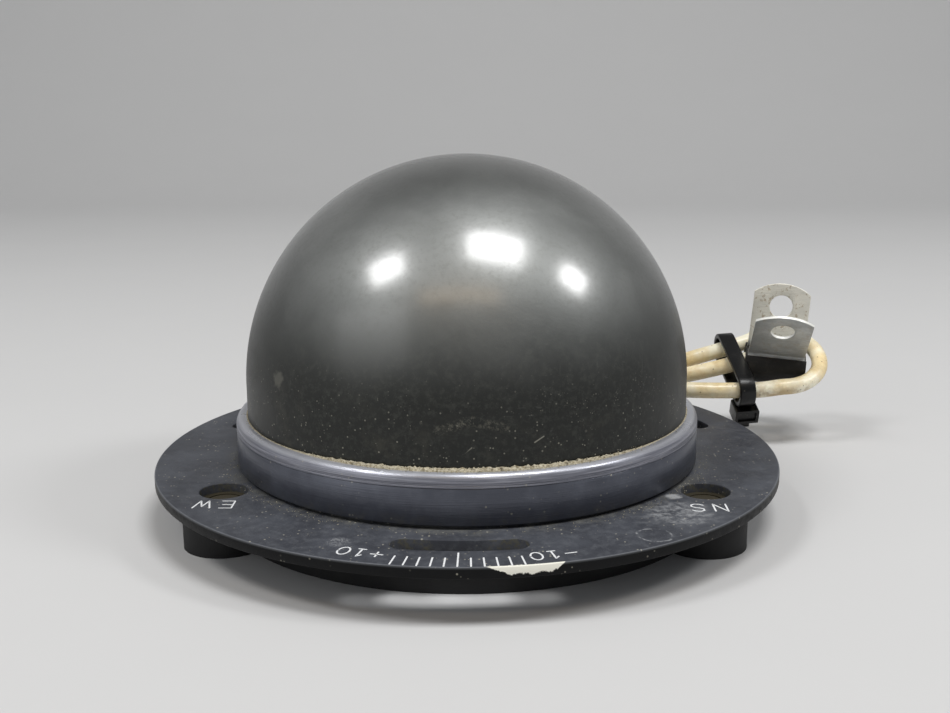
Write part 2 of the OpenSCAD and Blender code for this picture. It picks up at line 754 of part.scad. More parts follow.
module terminal_board() {
    color([0.45, 0.25, 0.12]) translate([0, 0, top_z]) difference() {
        rotate_extrude(angle = 2 * board_half_angle, start = entry_angle - board_half_angle)
            translate([board_in_r, 0]) square([board_out_r - board_in_r, board_t]);
        for (a = terminal_angles)
            at(polar(terminal_r, a), -1) cylinder(r = terminal_d / 2 + snug_fit, h = board_t + 2, $fn = 32);
    }
}

module terminal_pins() {
    color([0.85, 0.75, 0.45]) for (a = terminal_angles)
        at(polar(terminal_r, a), terminal_low_z)
            cylinder(d = terminal_d, h = terminal_top_z - terminal_low_z, $fn = 32);
}

module terminal_seals() {
    color([0.3, 0.45, 0.4]) for (a = terminal_angles)
        at(polar(terminal_r, a), seat_z) difference() {
            cylinder(r = terminal_seal_r, h = top_z - seat_z, $fn = 48);
            translate([0, 0, -1]) cylinder(r = terminal_d / 2 + snug_fit, h = flange_t + 2, $fn = 32);
        }
}

// The cable's five cores, from the end of its jacket to the terminals
module cable_cores() {
    away = [cos(entry_angle), sin(entry_angle)];
    aside = [-sin(entry_angle), cos(entry_angle)];
    colors = [[0.8, 0.1, 0.1], [0.9, 0.8, 0.1], [0.1, 0.3, 0.7], [0.1, 0.1, 0.1], [0.9, 0.9, 0.9]];
    for (i = [-2 : 2]) {
        foot = polar(terminal_r, terminal_angles[i + 2]);
        root = tail_in_r * away + 0.55 * i * aside;
        step = (root - foot) / norm(root - foot);
        lift = abs(i) == 1 ? -0.5 : 0.45;
        route = [concat(root, cable_z + lift), concat(root - 3 * away, cable_z + lift),
            concat(foot + 9 * step, 3.6), concat(foot + 3 * step, 3.2), concat(foot + 1.2 * step, 3.3),
            concat(foot + 0.3 * step, 3.8), concat(foot, 4.4), concat(foot, terminal_low_z)];
        color(colors[i + 2]) tube(route, core_wire_d / 2 * 0.9, wire_sides);
    }
}

module compensator_plate() {
    arms = [[ns_knob_xy, ns_a_xy, plate_arm_r], [ew_knob_xy, ew_a_xy, plate_arm_r],
        [ns_a_xy, ns_b_xy, plate_arm_r], [ew_a_xy, ew_b_xy, plate_arm_r],
        [ns_a_xy, ew_a_xy, plate_arm_r], [ns_b_xy, plate_lug_xy, plate_lug_r],
        [ew_b_xy, [-plate_lug_xy[0], plate_lug_xy[1]], plate_lug_r]];
    color([0.8, 0.68, 0.35]) difference() {
        translate([0, 0, plate_low_z]) linear_extrude(plate_t) union()
            for (m = arms) polygon(capsule(m[0], m[1], m[2]));
        for (p = [ns_knob_xy, ew_knob_xy]) at(p, plate_low_z) {
            translate([0, 0, knob_web_t]) cylinder(d = knob_d + 0.4, h = plate_t);
            translate([0, 0, -1]) cylinder(r = knob_shaft_d / 2 + run_fit, h = plate_t);
        }
        for (p = [ns_a_xy, ns_b_xy, ew_a_xy, ew_b_xy])
            at(p, plate_low_z - 1) cylinder(r = stud_rivet_r + snug_fit, h = plate_t + 2);
        for (p = plate_screw_xy)
            at(p, plate_low_z - 1) cylinder(r = plate_screw_r + 0.1, h = plate_t + 2);
    }
}

module plate_screws() {
    color([0.7, 0.7, 0.72]) for (p = plate_screw_xy) at(p) {
        translate([0, 0, plate_low_z - plate_head_t]) difference() {
            cylinder(r = plate_head_r, h = plate_head_t, $fn = 48);
            translate([-plate_head_r, -0.25, -1]) cube([2 * plate_head_r, 0.5, 1.4]);
        }
        translate([0, 0, plate_low_z - eps])
            cylinder(r = plate_screw_r, h = top_z - screw_skin - 0.1 - plate_low_z, $fn = 48);
    }
}

module gear_studs() {
    color([0.8, 0.8, 0.82]) for (p = [ns_a_xy, ns_b_xy, ew_a_xy, ew_b_xy]) at(p) {
        translate([0, 0, magnet_z - end_play - stud_head_t])
            cylinder(r = stud_head_r, h = stud_head_t, $fn = 48);
        translate([0, 0, magnet_z - end_play - eps])
            cylinder(r = stud_r, h = gear_top_z - magnet_z + 2 * end_play + 2 * eps, $fn = 48);
        translate([0, 0, gear_top_z + end_play])
            cylinder(r = stud_shoulder_r, h = plate_low_z - gear_top_z - end_play, $fn = 48);
        translate([0, 0, plate_low_z - eps])
            cylinder(r = stud_rivet_r, h = plate_t + eps, $fn = 48);
    }
}

// Knob: a slotted head in the plate, a shaft through it and a pinion whose tooth faces its gear
module knob(xy, face) {
    color([0.3, 0.26, 0.18]) at(xy) {
        difference() {
            translate([0, 0, knob_head_z]) cylinder(d = knob_d, h = knob_top_z - knob_head_z);
            translate([-knob_d, -0.4, knob_top_z - 0.45]) cube([2 * knob_d, 0.8, 1]);
        }
        translate([0, 0, gear_top_z - eps])
            cylinder(d = knob_shaft_d, h = knob_head_z - gear_top_z + 2 * eps);
        translate([0, 0, gear_z]) linear_extrude(gear_t) polygon(gear_outline(pinion_teeth, face));
    }
}

// Magnet gear with its bore
module magnet_gear(xy, face) {
    color([0.8, 0.68, 0.35]) at(xy, gear_z) difference() {
        linear_extrude(gear_t) polygon(gear_outline(gear_teeth, face));
        translate([0, 0, -1]) cylinder(r = stud_r + run_fit, h = gear_t + 2, $fn = 48);
    }
}

// Bar magnet under a gear, lying at angle a
module bar_magnet(xy, a) {
    color([0.35, 0.35, 0.37]) at(xy, magnet_z) rotate(a) difference() {
        translate([-magnet_len / 2, -magnet_w / 2, 0]) cube([magnet_len, magnet_w, magnet_t]);
        translate([0, 0, -1]) cylinder(r = stud_r + run_fit, h = magnet_t + 2, $fn = 48);
    }
}

module ns_knob() {
    knob(ns_knob_xy, ns_angle + 180);
}

module ew_knob() {
    knob(ew_knob_xy, ew_angle + 180);
}

module ns_gear_a() {
    magnet_gear(ns_a_xy, ns_angle + 180 / gear_teeth);
}

module ns_gear_b() {
    magnet_gear(ns_b_xy, -90);
}

module ew_gear_a() {
    magnet_gear(ew_a_xy, ew_angle + 180 / gear_teeth);
}

module ew_gear_b() {
    magnet_gear(ew_b_xy, -90);
}

module ns_magnet_a() {
    bar_magnet(ns_a_xy, 0);
}

module ns_magnet_b() {
    bar_magnet(ns_b_xy, 0);
}

module ew_magnet_a() {
    bar_magnet(ew_a_xy, 90);
}

module ew_magnet_b() {
    bar_magnet(ew_b_xy, 90);
}

// A round bar along the cable entry's axis, from radius r0 to r1
module entry_bar(r0, r1, ra, rb) {
    rotate(entry_angle) translate([r0, 0, cable_z]) rotate([0, 90, 0])
        cylinder(r1 = ra, r2 = rb, h = r1 - r0);
}

module compensator_pan() {
    color([0.14, 0.14, 0.16]) difference() {
        union() {
            difference() {
                linear_extrude(gasket_z) pan_outline(0);
                translate([0, 0, pan_wall]) linear_extrude(gasket_z) pan_outline(-pan_wall);
            }
            for (a = pan_screw_angles)
                at(polar(pan_screw_r, a), eps) cylinder(r = boss_r, h = seat_z - eps, $fn = 48);
        }
        for (a = pan_screw_angles) at(polar(pan_screw_r, a)) {
            translate([0, 0, -1]) cylinder(r = pan_head_r + 0.2, h = pan_head_z + pan_head_t + 1, $fn = 48);
            cylinder(r = pan_thread_r + 0.15, h = seat_z + 1, $fn = 48);
        }
        entry_bar(pan_r - 4, pan_r + 2, gland_body_r, gland_body_r);
    }
}

module pan_gasket() {
    color([0.3, 0.28, 0.26]) translate([0, 0, gasket_z]) linear_extrude(gasket_t) difference() {
        pan_outline(0);
        pan_outline(-pan_wall);
    }
}

module pan_screws() {
    color([0.7, 0.7, 0.72]) for (a = pan_screw_angles) at(polar(pan_screw_r, a)) {
        difference() {
            translate([0, 0, pan_head_z]) cylinder(r = pan_head_r, h = pan_head_t, $fn = 48);
            translate([-pan_head_r, -0.3, -1]) cube([2 * pan_head_r, 0.6, 1.6]);
        }
        translate([0, 0, pan_head_z + pan_head_t - eps])
            cylinder(r = pan_thread_r, h = top_z - screw_skin - 0.1 - pan_head_z - pan_head_t, $fn = 48);
    }
}

// The gland is flat on top, so that a bracket's ring passes over it
module cable_gland() {
    color([0.1, 0.1, 0.1]) difference() {
        union() {
            entry_bar(gland_in_r, pan_r + 1, gland_body_r - snug_fit, gland_body_r - snug_fit);
            entry_bar(pan_r + 0.1, pan_r + 2, gland_boss_r, gland_boss_r);
            entry_bar(pan_r + 2 - eps, gland_end_r, gland_boss_r - 0.2, gland_tip_r);
        }
        entry_bar(gland_in_r - 1, gland_end_r + 1, cable_r + snug_fit, cable_r + snug_fit);
        rotate(entry_angle) translate([pan_r, -gland_boss_r - 1, gland_top_z])
            cube([gland_end_r - pan_r + 1, 2 * gland_boss_r + 2, gland_boss_r]);
    }
}

module cable_tail() {
    color([0.9, 0.86, 0.72]) entry_bar(tail_in_r, gland_end_r, cable_r, cable_r);
}

module signal_cable() {
    color([0.9, 0.86, 0.72]) tube(cable_route, cable_r, cable_sides);
}

// Outline of the tie's loop, grown by g from its inner face
function tie_loop(g) = capsule([-tie_reach, 0], [tie_reach, 0], cable_r + tie_room + g);

module cable_tie() {
    room = cable_r + tie_room;
    head_low = -room - tie_t - tie_head[2] + 0.2;
    color([0.08, 0.08, 0.08]) translate(tie_centre) rotate([tie_tilt, 0, 0]) rotate(tie_slant) {
        translate([-tie_w / 2, 0, 0]) rotate([90, 0, 90]) linear_extrude(tie_w) difference() {
            polygon(tie_loop(tie_t));
            polygon(tie_loop(0));
        }
        translate([-tie_head[0] / 2, -tie_reach - tie_head[1] * 0.7, head_low]) cube(tie_head);
        translate([-tie_w / 2 + 0.2, -tie_reach - tie_head[1] * 0.4, head_low - 2])
            cube([tie_w - 0.4, tie_t, 2.5]);
    }
}

// Places its children at an ear's foot on the loop, with Z up along the ear
module at_ear(root, lean) {
    foot = polar(band_mid_r, root);
    translate([0, foot[0], foot[1]]) rotate([lean, 0, 0]) children();
}

// Middle line of the band in section, from the root of an ear round its bend to the loop
function ear_line(root, lean, turn) =
    let (foot = polar(band_mid_r, root), up = polar(1, 90 + lean))
    let (a = foot + ear_bend * up, c = polar(band_mid_r, root + turn * ear_bend_angle))
    concat([foot + clamp_ear_len * up],
        [for (t = [0 : 0.25 : 1]) (1 - t) * (1 - t) * a + 2 * t * (1 - t) * foot + t * t * c]);

// Points beside a line of points, at a distance h to its left, mitred at the bends
function left_of(a, b) = [a[1] - b[1], b[0] - a[0]] / norm(b - a);
function beside(line, i, h) =
    let (n = len(line) - 1)
    let (m = left_of(line[max(i - 1, 0)], line[max(i, 1)])
        + left_of(line[min(i, n - 1)], line[min(i + 1, n)]))
    line[i] + m * 2 * h / (m * m);
function strip(line, t) =
    let (n = len(line) - 1)
    concat([for (i = [0 : n]) beside(line, i, t / 2)], [for (i = [n : -1 : 0]) beside(line, i, -t / 2)]);

// Places its children, drawn along X about the origin, at the loop clamp
module at_clamp() {
    translate(clamp_centre) rotate(clamp_turn) children();
}

module clamp_band() {
    back = ear_line(back_root, back_lean, -1);
    line = concat(ear_line(front_root, front_lean, 1),
        arc([0, 0], band_mid_r, front_root + ear_bend_angle + 6, 360 + back_root - ear_bend_angle - 6, 44),
        [for (i = [len(back) - 1 : -1 : 0]) back[i]]);
    color([0.78, 0.77, 0.74]) at_clamp() difference() {
        translate([-band_w / 2, 0, 0]) rotate([90, 0, 90])
            linear_extrude(band_w) polygon(strip(line, band_t));
        for (e = [[front_root, front_lean], [back_root, back_lean]]) at_ear(e[0], e[1]) {
            translate([0, 0, clamp_ear_len - ear_hole_drop]) rotate([90, 0, 0])
                cylinder(d = clamp_hole_d, h = 3, center = true);
            difference() {
                translate([-band_w / 2 - 1, -1, clamp_ear_len - ear_crown_drop])
                    cube([band_w + 2, 2, ear_crown_drop + 1]);
                translate([0, 0, clamp_ear_len - ear_crown_r]) rotate([90, 0, 0])
                    cylinder(r = ear_crown_r, h = 3, center = true);
            }
        }
    }
}

module clamp_cushion() {
    length = band_w + 2 * cushion_over;
    color([0.06, 0.06, 0.06]) at_clamp() rotate([0, 90, 0]) difference() {
        cylinder(r = band_in_r - run_fit, h = length, center = true);
        cylinder(r = cable_r + 0.1, h = length + 2, center = true);
    }
}

mounting_flange();
clamp_ring();
dome();
bowl_seal();
filler_plug();
suspension_post();
post_nut();
fixed_yoke();
gimbal_cross();
gimbal_pins();
pendulum_yoke();
core_inner();
core_outer();
core_spool();
exciter_bobbin();
exciter_coil();
pickup_bobbin_a();
pickup_bobbin_b();
pickup_bobbin_c();
pickup_coil_a();
pickup_coil_b();
pickup_coil_c();
horn_spacers();
horn_rivets();
pendulum_weight();
pendulum_bolt();
weight_nut();
terminal_board();
terminal_pins();
terminal_seals();
cable_cores();
compensator_plate();
plate_screws();
gear_studs();
ns_knob();
ns_gear_a();
ns_gear_b();
ns_magnet_a();
ns_magnet_b();
ew_knob();
ew_gear_a();
ew_gear_b();
ew_magnet_a();
ew_magnet_b();
compensator_pan();
pan_gasket();
pan_screws();
cable_gland();
cable_tail();
signal_cable();
cable_tie();
clamp_band();
clamp_cushion();
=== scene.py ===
import math

import bmesh
import bpy
import numpy as np
from mathutils import Matrix, Vector, noise


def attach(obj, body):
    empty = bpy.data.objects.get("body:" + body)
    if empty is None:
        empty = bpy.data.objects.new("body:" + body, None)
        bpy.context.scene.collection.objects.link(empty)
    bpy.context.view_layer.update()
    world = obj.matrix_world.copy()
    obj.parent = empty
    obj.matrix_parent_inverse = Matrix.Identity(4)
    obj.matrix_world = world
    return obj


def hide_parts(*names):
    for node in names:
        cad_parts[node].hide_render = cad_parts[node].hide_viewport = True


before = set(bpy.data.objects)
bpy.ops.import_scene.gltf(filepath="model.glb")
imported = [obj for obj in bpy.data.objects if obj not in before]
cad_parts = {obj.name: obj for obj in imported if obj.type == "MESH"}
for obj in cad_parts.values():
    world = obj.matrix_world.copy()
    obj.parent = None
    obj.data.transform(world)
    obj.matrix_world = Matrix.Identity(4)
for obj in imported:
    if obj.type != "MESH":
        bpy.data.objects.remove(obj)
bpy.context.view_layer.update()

# ---- Camera: the photograph's view, a quarter of a metre in front and a little above the dome.
# Its place, turn and lens were fitted to the flange's rim, the clamp ring and the dome.
PHOTO_WIDTH, FOCAL_PIXELS, SENSOR = 950, 1245.4, 36.0
look, pitch, roll = math.radians(-1.205), math.radians(12.867), math.radians(-0.358)
ahead = Vector((math.sin(look) * math.cos(pitch), math.cos(look) * math.cos(pitch),
                -math.sin(pitch)))
level = Vector((math.cos(look), -math.sin(look), 0))
rise = level.cross(ahead)
aside = math.cos(roll) * level + math.sin(roll) * rise
upward = -math.sin(roll) * level + math.cos(roll) * rise


def placed(name, data):
    """A new object in the scene."""
    thing = bpy.data.objects.new(name, data)
    bpy.context.scene.collection.objects.link(thing)
    return thing


lens = bpy.data.cameras.new("photo_lens")
lens.sensor_fit, lens.sensor_width = "HORIZONTAL", SENSOR
lens.lens = FOCAL_PIXELS * SENSOR / PHOTO_WIDTH
lens.clip_start, lens.clip_end = 0.01, 20
camera = placed("camera", lens)
camera.matrix_world = Matrix.Translation((0.00661, -0.23693, 0.0831)) @ Matrix(
    (aside, upward, -ahead)).transposed().to_4x4()
bpy.context.scene.camera = camera
bpy.context.scene.view_settings.view_transform = "Standard"

# ---- Lead: a limp cable in a cream vinyl jacket, 3.6 mm thick and 0.35 m long. It leaves the
# gland at the back, turns on the floor, passes through the tie, folds back under the ears of the
# loop clamp, turns on the floor again and ends cut off inside the clamp.
MM = 0.001
CABLE_RADIUS = 1.8 * MM
FLOOR_Z = 1.9


class Tone:
    """A value that changes over a finish. Sums and products of tones add their Math nodes."""

    def __init__(self, finish, socket):
        self.finish, self.socket = finish, socket

    def maths(self, operation, first, second=0.0):
        """The tone of one Math node."""
        return self.finish.node("Math", {"operation": operation}, {0: first, 1: second})

    def __add__(self, other):
        return self.maths("ADD", self, other)

    def __sub__(self, other):
        return self.maths("SUBTRACT", self, other)

    def __rsub__(self, other):
        return self.maths("SUBTRACT", other, self)

    def __mul__(self, other):
        return self.maths("MULTIPLY", self, other)

    def __truediv__(self, other):
        return self.maths("DIVIDE", self, other)

    def __pow__(self, other):
        return self.maths("POWER", self, other)

    def __or__(self, other):
        return self.maths("MAXIMUM", self, other)

    __radd__ = __add__
    __rmul__ = __mul__

    def between(self, low, high):
        """0 up to low, 1 from high, and an even rise from one to the other."""
        return self.finish.node("MapRange", {"interpolation_type": "SMOOTHSTEP"},
                                {0: self, 1: low, 2: high})


class Finish:
    """A surface finish on one principled shader; what varies on it is drawn in metres."""

    def __init__(self, name, **fixed):
        self.material = bpy.data.materials.new(name)
        self.material.use_nodes = True
        self.tree = self.material.node_tree
        self.shader = self.tree.nodes["Principled BSDF"]
        for key, value in fixed.items():
            self.shader.inputs[key.replace("_", " ")].default_value = value
        self.place = self.node("TexCoord", out=3)
        self.x, self.y, self.z = (self.node("SeparateXYZ", {}, {0: self.place}, i) for i in range(3))

    def node(self, kind, settings=None, sockets=None, out=0):
        """A new shader node with its settings and inputs, as the tone of one of its outputs."""
        made = self.tree.nodes.new("ShaderNode" + kind)
        for key, value in (settings or {}).items():
            setattr(made, key, value)
        for key, value in (sockets or {}).items():
            self.join(value, made.inputs[key])
        return Tone(self, made.outputs[out])

    def join(self, value, socket):
        """Links a tone to a socket, or sets the socket to a plain value."""
        if isinstance(value, Tone):
            self.tree.links.new(value.socket, socket)
        else:
            socket.default_value = value

    def clouds(self, size, detail=3.0, rough=0.55, warp=0.0, place=None):
        """Soft noise whose blobs are about size metres across."""
        return self.node("TexNoise", {}, {"Vector": place or self.place, "Scale": 1 / size,
                                          "Detail": detail, "Roughness": rough, "Distortion": warp})

    def stretched(self, x, y, z):
        """The place, with each axis drawn out so that a pattern becomes a grain."""
        return self.node("Mapping", {}, {"Vector": self.place, "Scale": (x, y, z)})

    def grains(self, size, share, place=None):
        """Round specks in some of the cells of a lattice size metres wide."""
        cells = {"Vector": place or self.place, "Scale": 1 / size}
        spread = self.node("TexVoronoi", {}, cells)
        chance = self.node("SeparateXYZ", {}, {0: self.node("TexVoronoi", {}, cells, 1)})
        return spread.between(0.42, 0.18) * chance.between(1 - share, 1 - share + 0.02)

    def vector(self, operation, first, second, out=0):
        """The tone of one Vector Math node."""
        return self.node("VectorMath", {"operation": operation}, {0: first, 1: second}, out)

    def streak(self, start, end, width):
        """A thin mark from start to end, both in millimetres, which fades over its width."""
        start, end = Vector(start) * MM, Vector(end) * MM
        run = end - start
        lead = self.vector("SUBTRACT", self.place, start)
        share = self.node("Math", {"operation": "MULTIPLY", "use_clamp": True}, {
            0: self.vector("DOT_PRODUCT", lead, run, 1), 1: 1 / run.length_squared})
        along = self.vector("SCALE", run, (0, 0, 0))
        self.join(share, along.socket.node.inputs["Scale"])
        return self.vector("LENGTH", self.vector("SUBTRACT", lead, along), (0, 0, 0), 1).between(
            width * MM, 0.3 * width * MM)

    def patch(self, centre, radius, ragged=0.0, size=0.002):
        """A soft round mark about centre, in millimetres, whose edge wanders."""
        away = self.vector("DISTANCE", self.place, Vector(centre) * MM, 1)
        if ragged:
            away = away + (self.clouds(size) - 0.5) * (ragged * MM)
        return away.between(radius * MM, 0.4 * radius * MM)

    def over(self, under, mask, colour):
        """colour laid over what is under it, where the mask is 1."""
        return self.node("Mix", {"data_type": "RGBA"}, {0: mask, 6: under, 7: colour}, out=2)

    def layered(self, under, *layers):
        """A ground colour with layers over it, each a pair of mask and colour."""
        for mask, colour in layers:
            under = self.over(under, mask, colour)
        return under

    def relief(self, height, depth, strength=1.0, normal=None):
        """Bumps depth metres high."""
        sockets = {"Height": height, "Distance": depth, "Strength": strength}
        if normal:
            sockets["Normal"] = normal
        return self.node("Bump", {}, sockets)

    def laid(self, colour, rough, relief=None, metal=None):
        """The finished material, once its shader has all that varies."""
        self.join(colour, self.shader.inputs["Base Color"])
        self.join(rough, self.shader.inputs["Roughness"])
        if relief:
            self.join(relief, self.shader.inputs["Normal"])
        if metal is not None:
            self.join(metal, self.shader.inputs["Metallic"])
        return self.material


def shade(red, green, blue):
    """A colour from its 0 to 255 screen values."""
    return [(v / 255 / 12.92 if v < 11 else ((v / 255 + 0.055) / 1.055) ** 2.4)
            for v in (red, green, blue)] + [1.0]


def dressed(name, mesh, material, replaces=(), smooth=35, body="bowl"):
    """Puts a finished mesh on the object: its material, its shading, and what it stands for."""
    piece = placed(name, mesh)
    mesh.polygons.foreach_set("use_smooth", [True] * len(mesh.polygons))
    mesh.set_sharp_from_angle(angle=math.radians(smooth))
    mesh.materials.clear()
    mesh.materials.append(material)
    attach(piece, body)
    if replaces:
        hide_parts(*replaces)
    return piece


def closed(mesh):
    """Joins what coincides and turns every face outwards."""
    work = bmesh.new()
    work.from_mesh(mesh)
    bmesh.ops.remove_doubles(work, verts=work.verts, dist=1e-7)
    bmesh.ops.recalc_face_normals(work, faces=work.faces)
    work.to_mesh(mesh)
    work.free()
    return mesh


def flowing(points, step):
    """A smooth curve through the points, in samples about step apart."""
    points = np.array(points, float)
    gaps = np.linalg.norm(np.diff(points, axis=0), axis=1)
    slopes = np.diff(points, axis=0) / gaps[:, None]
    inner = slopes[:-1] * gaps[1:, None] + slopes[1:] * gaps[:-1, None]
    inner /= (gaps[1:] + gaps[:-1])[:, None]
    tangents = np.vstack([slopes[:1], inner, slopes[-1:]])
    line = []
    for i, gap in enumerate(gaps):
        count = max(2, round(gap / step))
        for t in np.arange(count) / count:
            line.append((2 * t**3 - 3 * t**2 + 1) * points[i]
                        + (t**3 - 2 * t**2 + t) * gap * tangents[i]
                        + (3 * t**2 - 2 * t**3) * points[i + 1]
                        + (t**3 - t**2) * gap * tangents[i + 1])
    return np.array(line + [points[-1]])


def swept(line, outline, name, loop=False, frames=None):
    """A solid whose outline (pairs of side and height) is carried along a line."""
    count, sides = len(line), len(outline)
    verts = []
    side = None
    for i, p in enumerate(line):
        ahead_of = line[(i + 1) % count] if loop else line[min(i + 1, count - 1)]
        behind = line[(i - 1) % count] if loop else line[max(i - 1, 0)]
        heading = Vector(ahead_of - behind).normalized()
        if frames is not None:
            side = Vector(frames[i])
        elif side is None:
            side = heading.orthogonal().normalized()
        side = (side - heading * side.dot(heading)).normalized()
        over = heading.cross(side)
        verts += [Vector(p) + side * a + over * b for a, b in outline]
    faces = [(i * sides + k, i * sides + (k + 1) % sides,
              (i + 1) % count * sides + (k + 1) % sides, (i + 1) % count * sides + k)
             for i in range(count if loop else count - 1) for k in range(sides)]
    if not loop:
        faces += [tuple(range(sides)), tuple(range((count - 1) * sides, count * sides))]
    mesh = bpy.data.meshes.new(name)
    mesh.from_pydata(verts, [], faces)
    return closed(mesh)


def ring_points(centre, radius, stops):
    """Points about a centre at (angle, height) stops: a turn of the lead on the floor."""
    return [(centre[0] + radius * math.cos(math.radians(a)),
             centre[1] + radius * math.sin(math.radians(a)), z) for a, z in stops]


def fold_points(centre, radius, tilt):
    """Half a turn of the lead that leans back by tilt degrees."""
    lean = math.radians(tilt)
    return [(centre[0] + radius * math.sin(a), centre[1] - radius * math.cos(a) * math.cos(lean),
             centre[2] - radius * math.cos(a) * math.sin(lean))
            for a in np.radians(np.arange(0, 181, 15))]


CLAMP_AT, CLAMP_TURN = Vector((69.85, 45.1, 16.8)), (4.8, -7.5)
clamp_place = (Matrix.Translation(CLAMP_AT * MM) @ Matrix.Rotation(math.radians(CLAMP_TURN[1]), 4, "Z")
               @ Matrix.Rotation(math.radians(CLAMP_TURN[0]), 4, "Y"))
clamp_way = clamp_place.to_3x3() @ Vector((1, 0, 0))
GLAND_ANGLE = 120
way_out = (math.cos(math.radians(GLAND_ANGLE)), math.sin(math.radians(GLAND_ANGLE)))
route = ([(r * way_out[0], r * way_out[1], z) for r, z in ((54.5, 3.5), (58, 3.5), (62, 3.2))]
         + ring_points((-22.6, 63.2), 12, ((210, 2.8), (185, FLOOR_Z + 0.1), (160, FLOOR_Z),
                                           (135, FLOOR_Z + 0.2), (110, 3.2), (85, 5), (55, 8.4)))
         + [(-10.5, 69.3, 11.4), (-4.8, 65.3, 13.2), (1.2, 61.2, 13.6), (8, 56.6, 13), (16, 52, 12.3),
            (24, 47.5, 12.1), (32, 43.2, 12.1), (40, 39.6, 12.3), (48, 37.8, 12.5), (55, 37.2, 12.5),
            (60.5, 36.9, 12.6), (65.5, 36.4, 12.9)]
         + fold_points((70.2, 44.6, 18.2), 9.8, 27.5)
         + [(65.2, 52, 20.7), (60.5, 51, 19.4), (55, 51.2, 17.7), (49.5, 53.8, 15.4),
            (43.5, 59.5, 13.3), (37.5, 66.2, 10.3), (31.5, 73, 7.3), (25.5, 79.3, 4.6)]
         + ring_points((12, 77), 9.5, [(a, FLOOR_Z if a > 50 else 2.7) for a in range(50, 249, 22)])
         + [(14.5, 66.3, FLOOR_Z + 0.3), (21, 63.3, 3.9), (28, 59.4, 6.2), (35, 55.2, 8.9),
            (42, 51.3, 11.1), (48.5, 48.3, 13.1), (54.5, 46.1, 15), (59.5, 45.7, 16.4)]
         + [tuple(CLAMP_AT + t * clamp_way) for t in (-7.4, 0, 5.5)])
lead_line = flowing(route, 1.0) * MM
round_outline = [(CABLE_RADIUS * math.cos(a), CABLE_RADIUS * math.sin(a))
                 for a in np.linspace(0, 2 * math.pi, 28, endpoint=False)]

jacket = Finish("cream_jacket", Subsurface_Weight=0.05, Specular_IOR_Level=0.6)
jacket.shader.inputs["Subsurface Radius"].default_value = (0.001, 0.0007, 0.0004)
yellowed = jacket.clouds(0.011, 3, 0.6).between(0.42, 0.66)
grimed = jacket.clouds(0.0035, 4, 0.65).between(0.5, 0.72)
# Brown patches: a few over the whole lead, and more where it runs low near the tie.
low_run = jacket.z.between(0.017, 0.0105) * jacket.x.between(0.058, 0.066)
brown_patches = (low_run | yellowed * 0.2) * jacket.clouds(0.0022, 3, 0.6).between(0.4, 0.6)
tone = jacket.layered(
    shade(255, 249, 224), (yellowed * 0.55, shade(236, 202, 122)),
    (grimed * 0.25, shade(198, 160, 88)), (brown_patches * 0.65, shade(160, 120, 56)),
    (jacket.grains(0.0006, 0.05) * 0.6, shade(96, 82, 58)))
dents = jacket.relief(jacket.clouds(0.004, 2) + 0.15 * jacket.clouds(0.0005, 2), 0.0004, 0.6)
jacket_vinyl = jacket.laid(tone, 0.27 + 0.2 * grimed, dents)
lead = dressed("signal_cable_jacket", swept(lead_line, round_outline, "signal_cable_jacket"),
               jacket_vinyl, ["signal_cable"], smooth=50)

# ---- Flange: a turned aluminium plate, 2 mm thick, anodised blue-black, with three curved mounting
# slots and a hole over each compensator knob. Its threaded spigot holds the clamp ring.
UNDER, TOP, SEAT = 8 * MM, 10 * MM, 8.3 * MM
RIM = 60.325 * MM
SLOT_RADIUS, SLOT_WIDTH, SLOT_HALF, SLOT_ANGLES = 51.3 * MM, 4.5 * MM, 10, (-90, 30, 150)
ACCESS_RADIUS, KNOB_CIRCLE, KNOB_ANGLES = 4.35 * MM, 49.8 * MM, (-30, 210)
SPIGOT_IN, SPIGOT_OUT, SPIGOT_TOP = 41.9 * MM, 43.5 * MM, 13 * MM
PAN_BODY, PAN_LOBE, PAN_PLAY = 47.5 * MM, 7.6 * MM, 0.3 * MM


def polar(radius, degrees):
    return (radius * math.cos(math.radians(degrees)), radius * math.sin(math.radians(degrees)))


def arc_of(centre, radius, start, end, count):
    return [(centre[0] + radius * math.cos(a), centre[1] + radius * math.sin(a))
            for a in np.radians(np.linspace(start, end, count))]


def circle_of(centre, radius, count):
    return arc_of(centre, radius, 0, 360, count + 1)[:-1]


def slot_outline(middle):
    """Round-ended slot about the axis."""
    ends = [polar(SLOT_RADIUS, middle + s * SLOT_HALF) for s in (1, -1)]
    first, last, half = middle - SLOT_HALF, middle + SLOT_HALF, SLOT_WIDTH / 2
    return (arc_of((0, 0), SLOT_RADIUS + half, first, last, 40)
            + arc_of(ends[0], half, last, last + 180, 18)[1:-1]
            + arc_of((0, 0), SLOT_RADIUS - half, last, first, 36)
            + arc_of(ends[1], half, first + 180, first + 360, 18)[1:-1])


def mesh_of(thing):
    """An object's shape, with its modifiers or its curve's thickness, as a plain mesh."""
    depsgraph = bpy.context.evaluated_depsgraph_get()
    return bpy.data.meshes.new_from_object(thing.evaluated_get(depsgraph))


def blank(name, outlines, thickness, edge):
    """A flat plate about height 0, cut to its rim and its holes, with its edges rounded."""
    curve = bpy.data.curves.new(name, "CURVE")
    curve.dimensions, curve.fill_mode = "2D", "BOTH"
    curve.extrude, curve.bevel_depth, curve.offset = thickness / 2 - edge, edge, -edge
    curve.bevel_resolution = 2
    for outline in outlines:
        spline = curve.splines.new("POLY")
        spline.points.add(len(outline) - 1)
        for point, (x, y) in zip(spline.points, outline):
            point.co = (x, y, 0, 1)
        spline.use_cyclic_u = True
    shape = placed(name, curve)
    mesh = mesh_of(shape)
    bpy.data.objects.remove(shape)
    return closed(mesh)


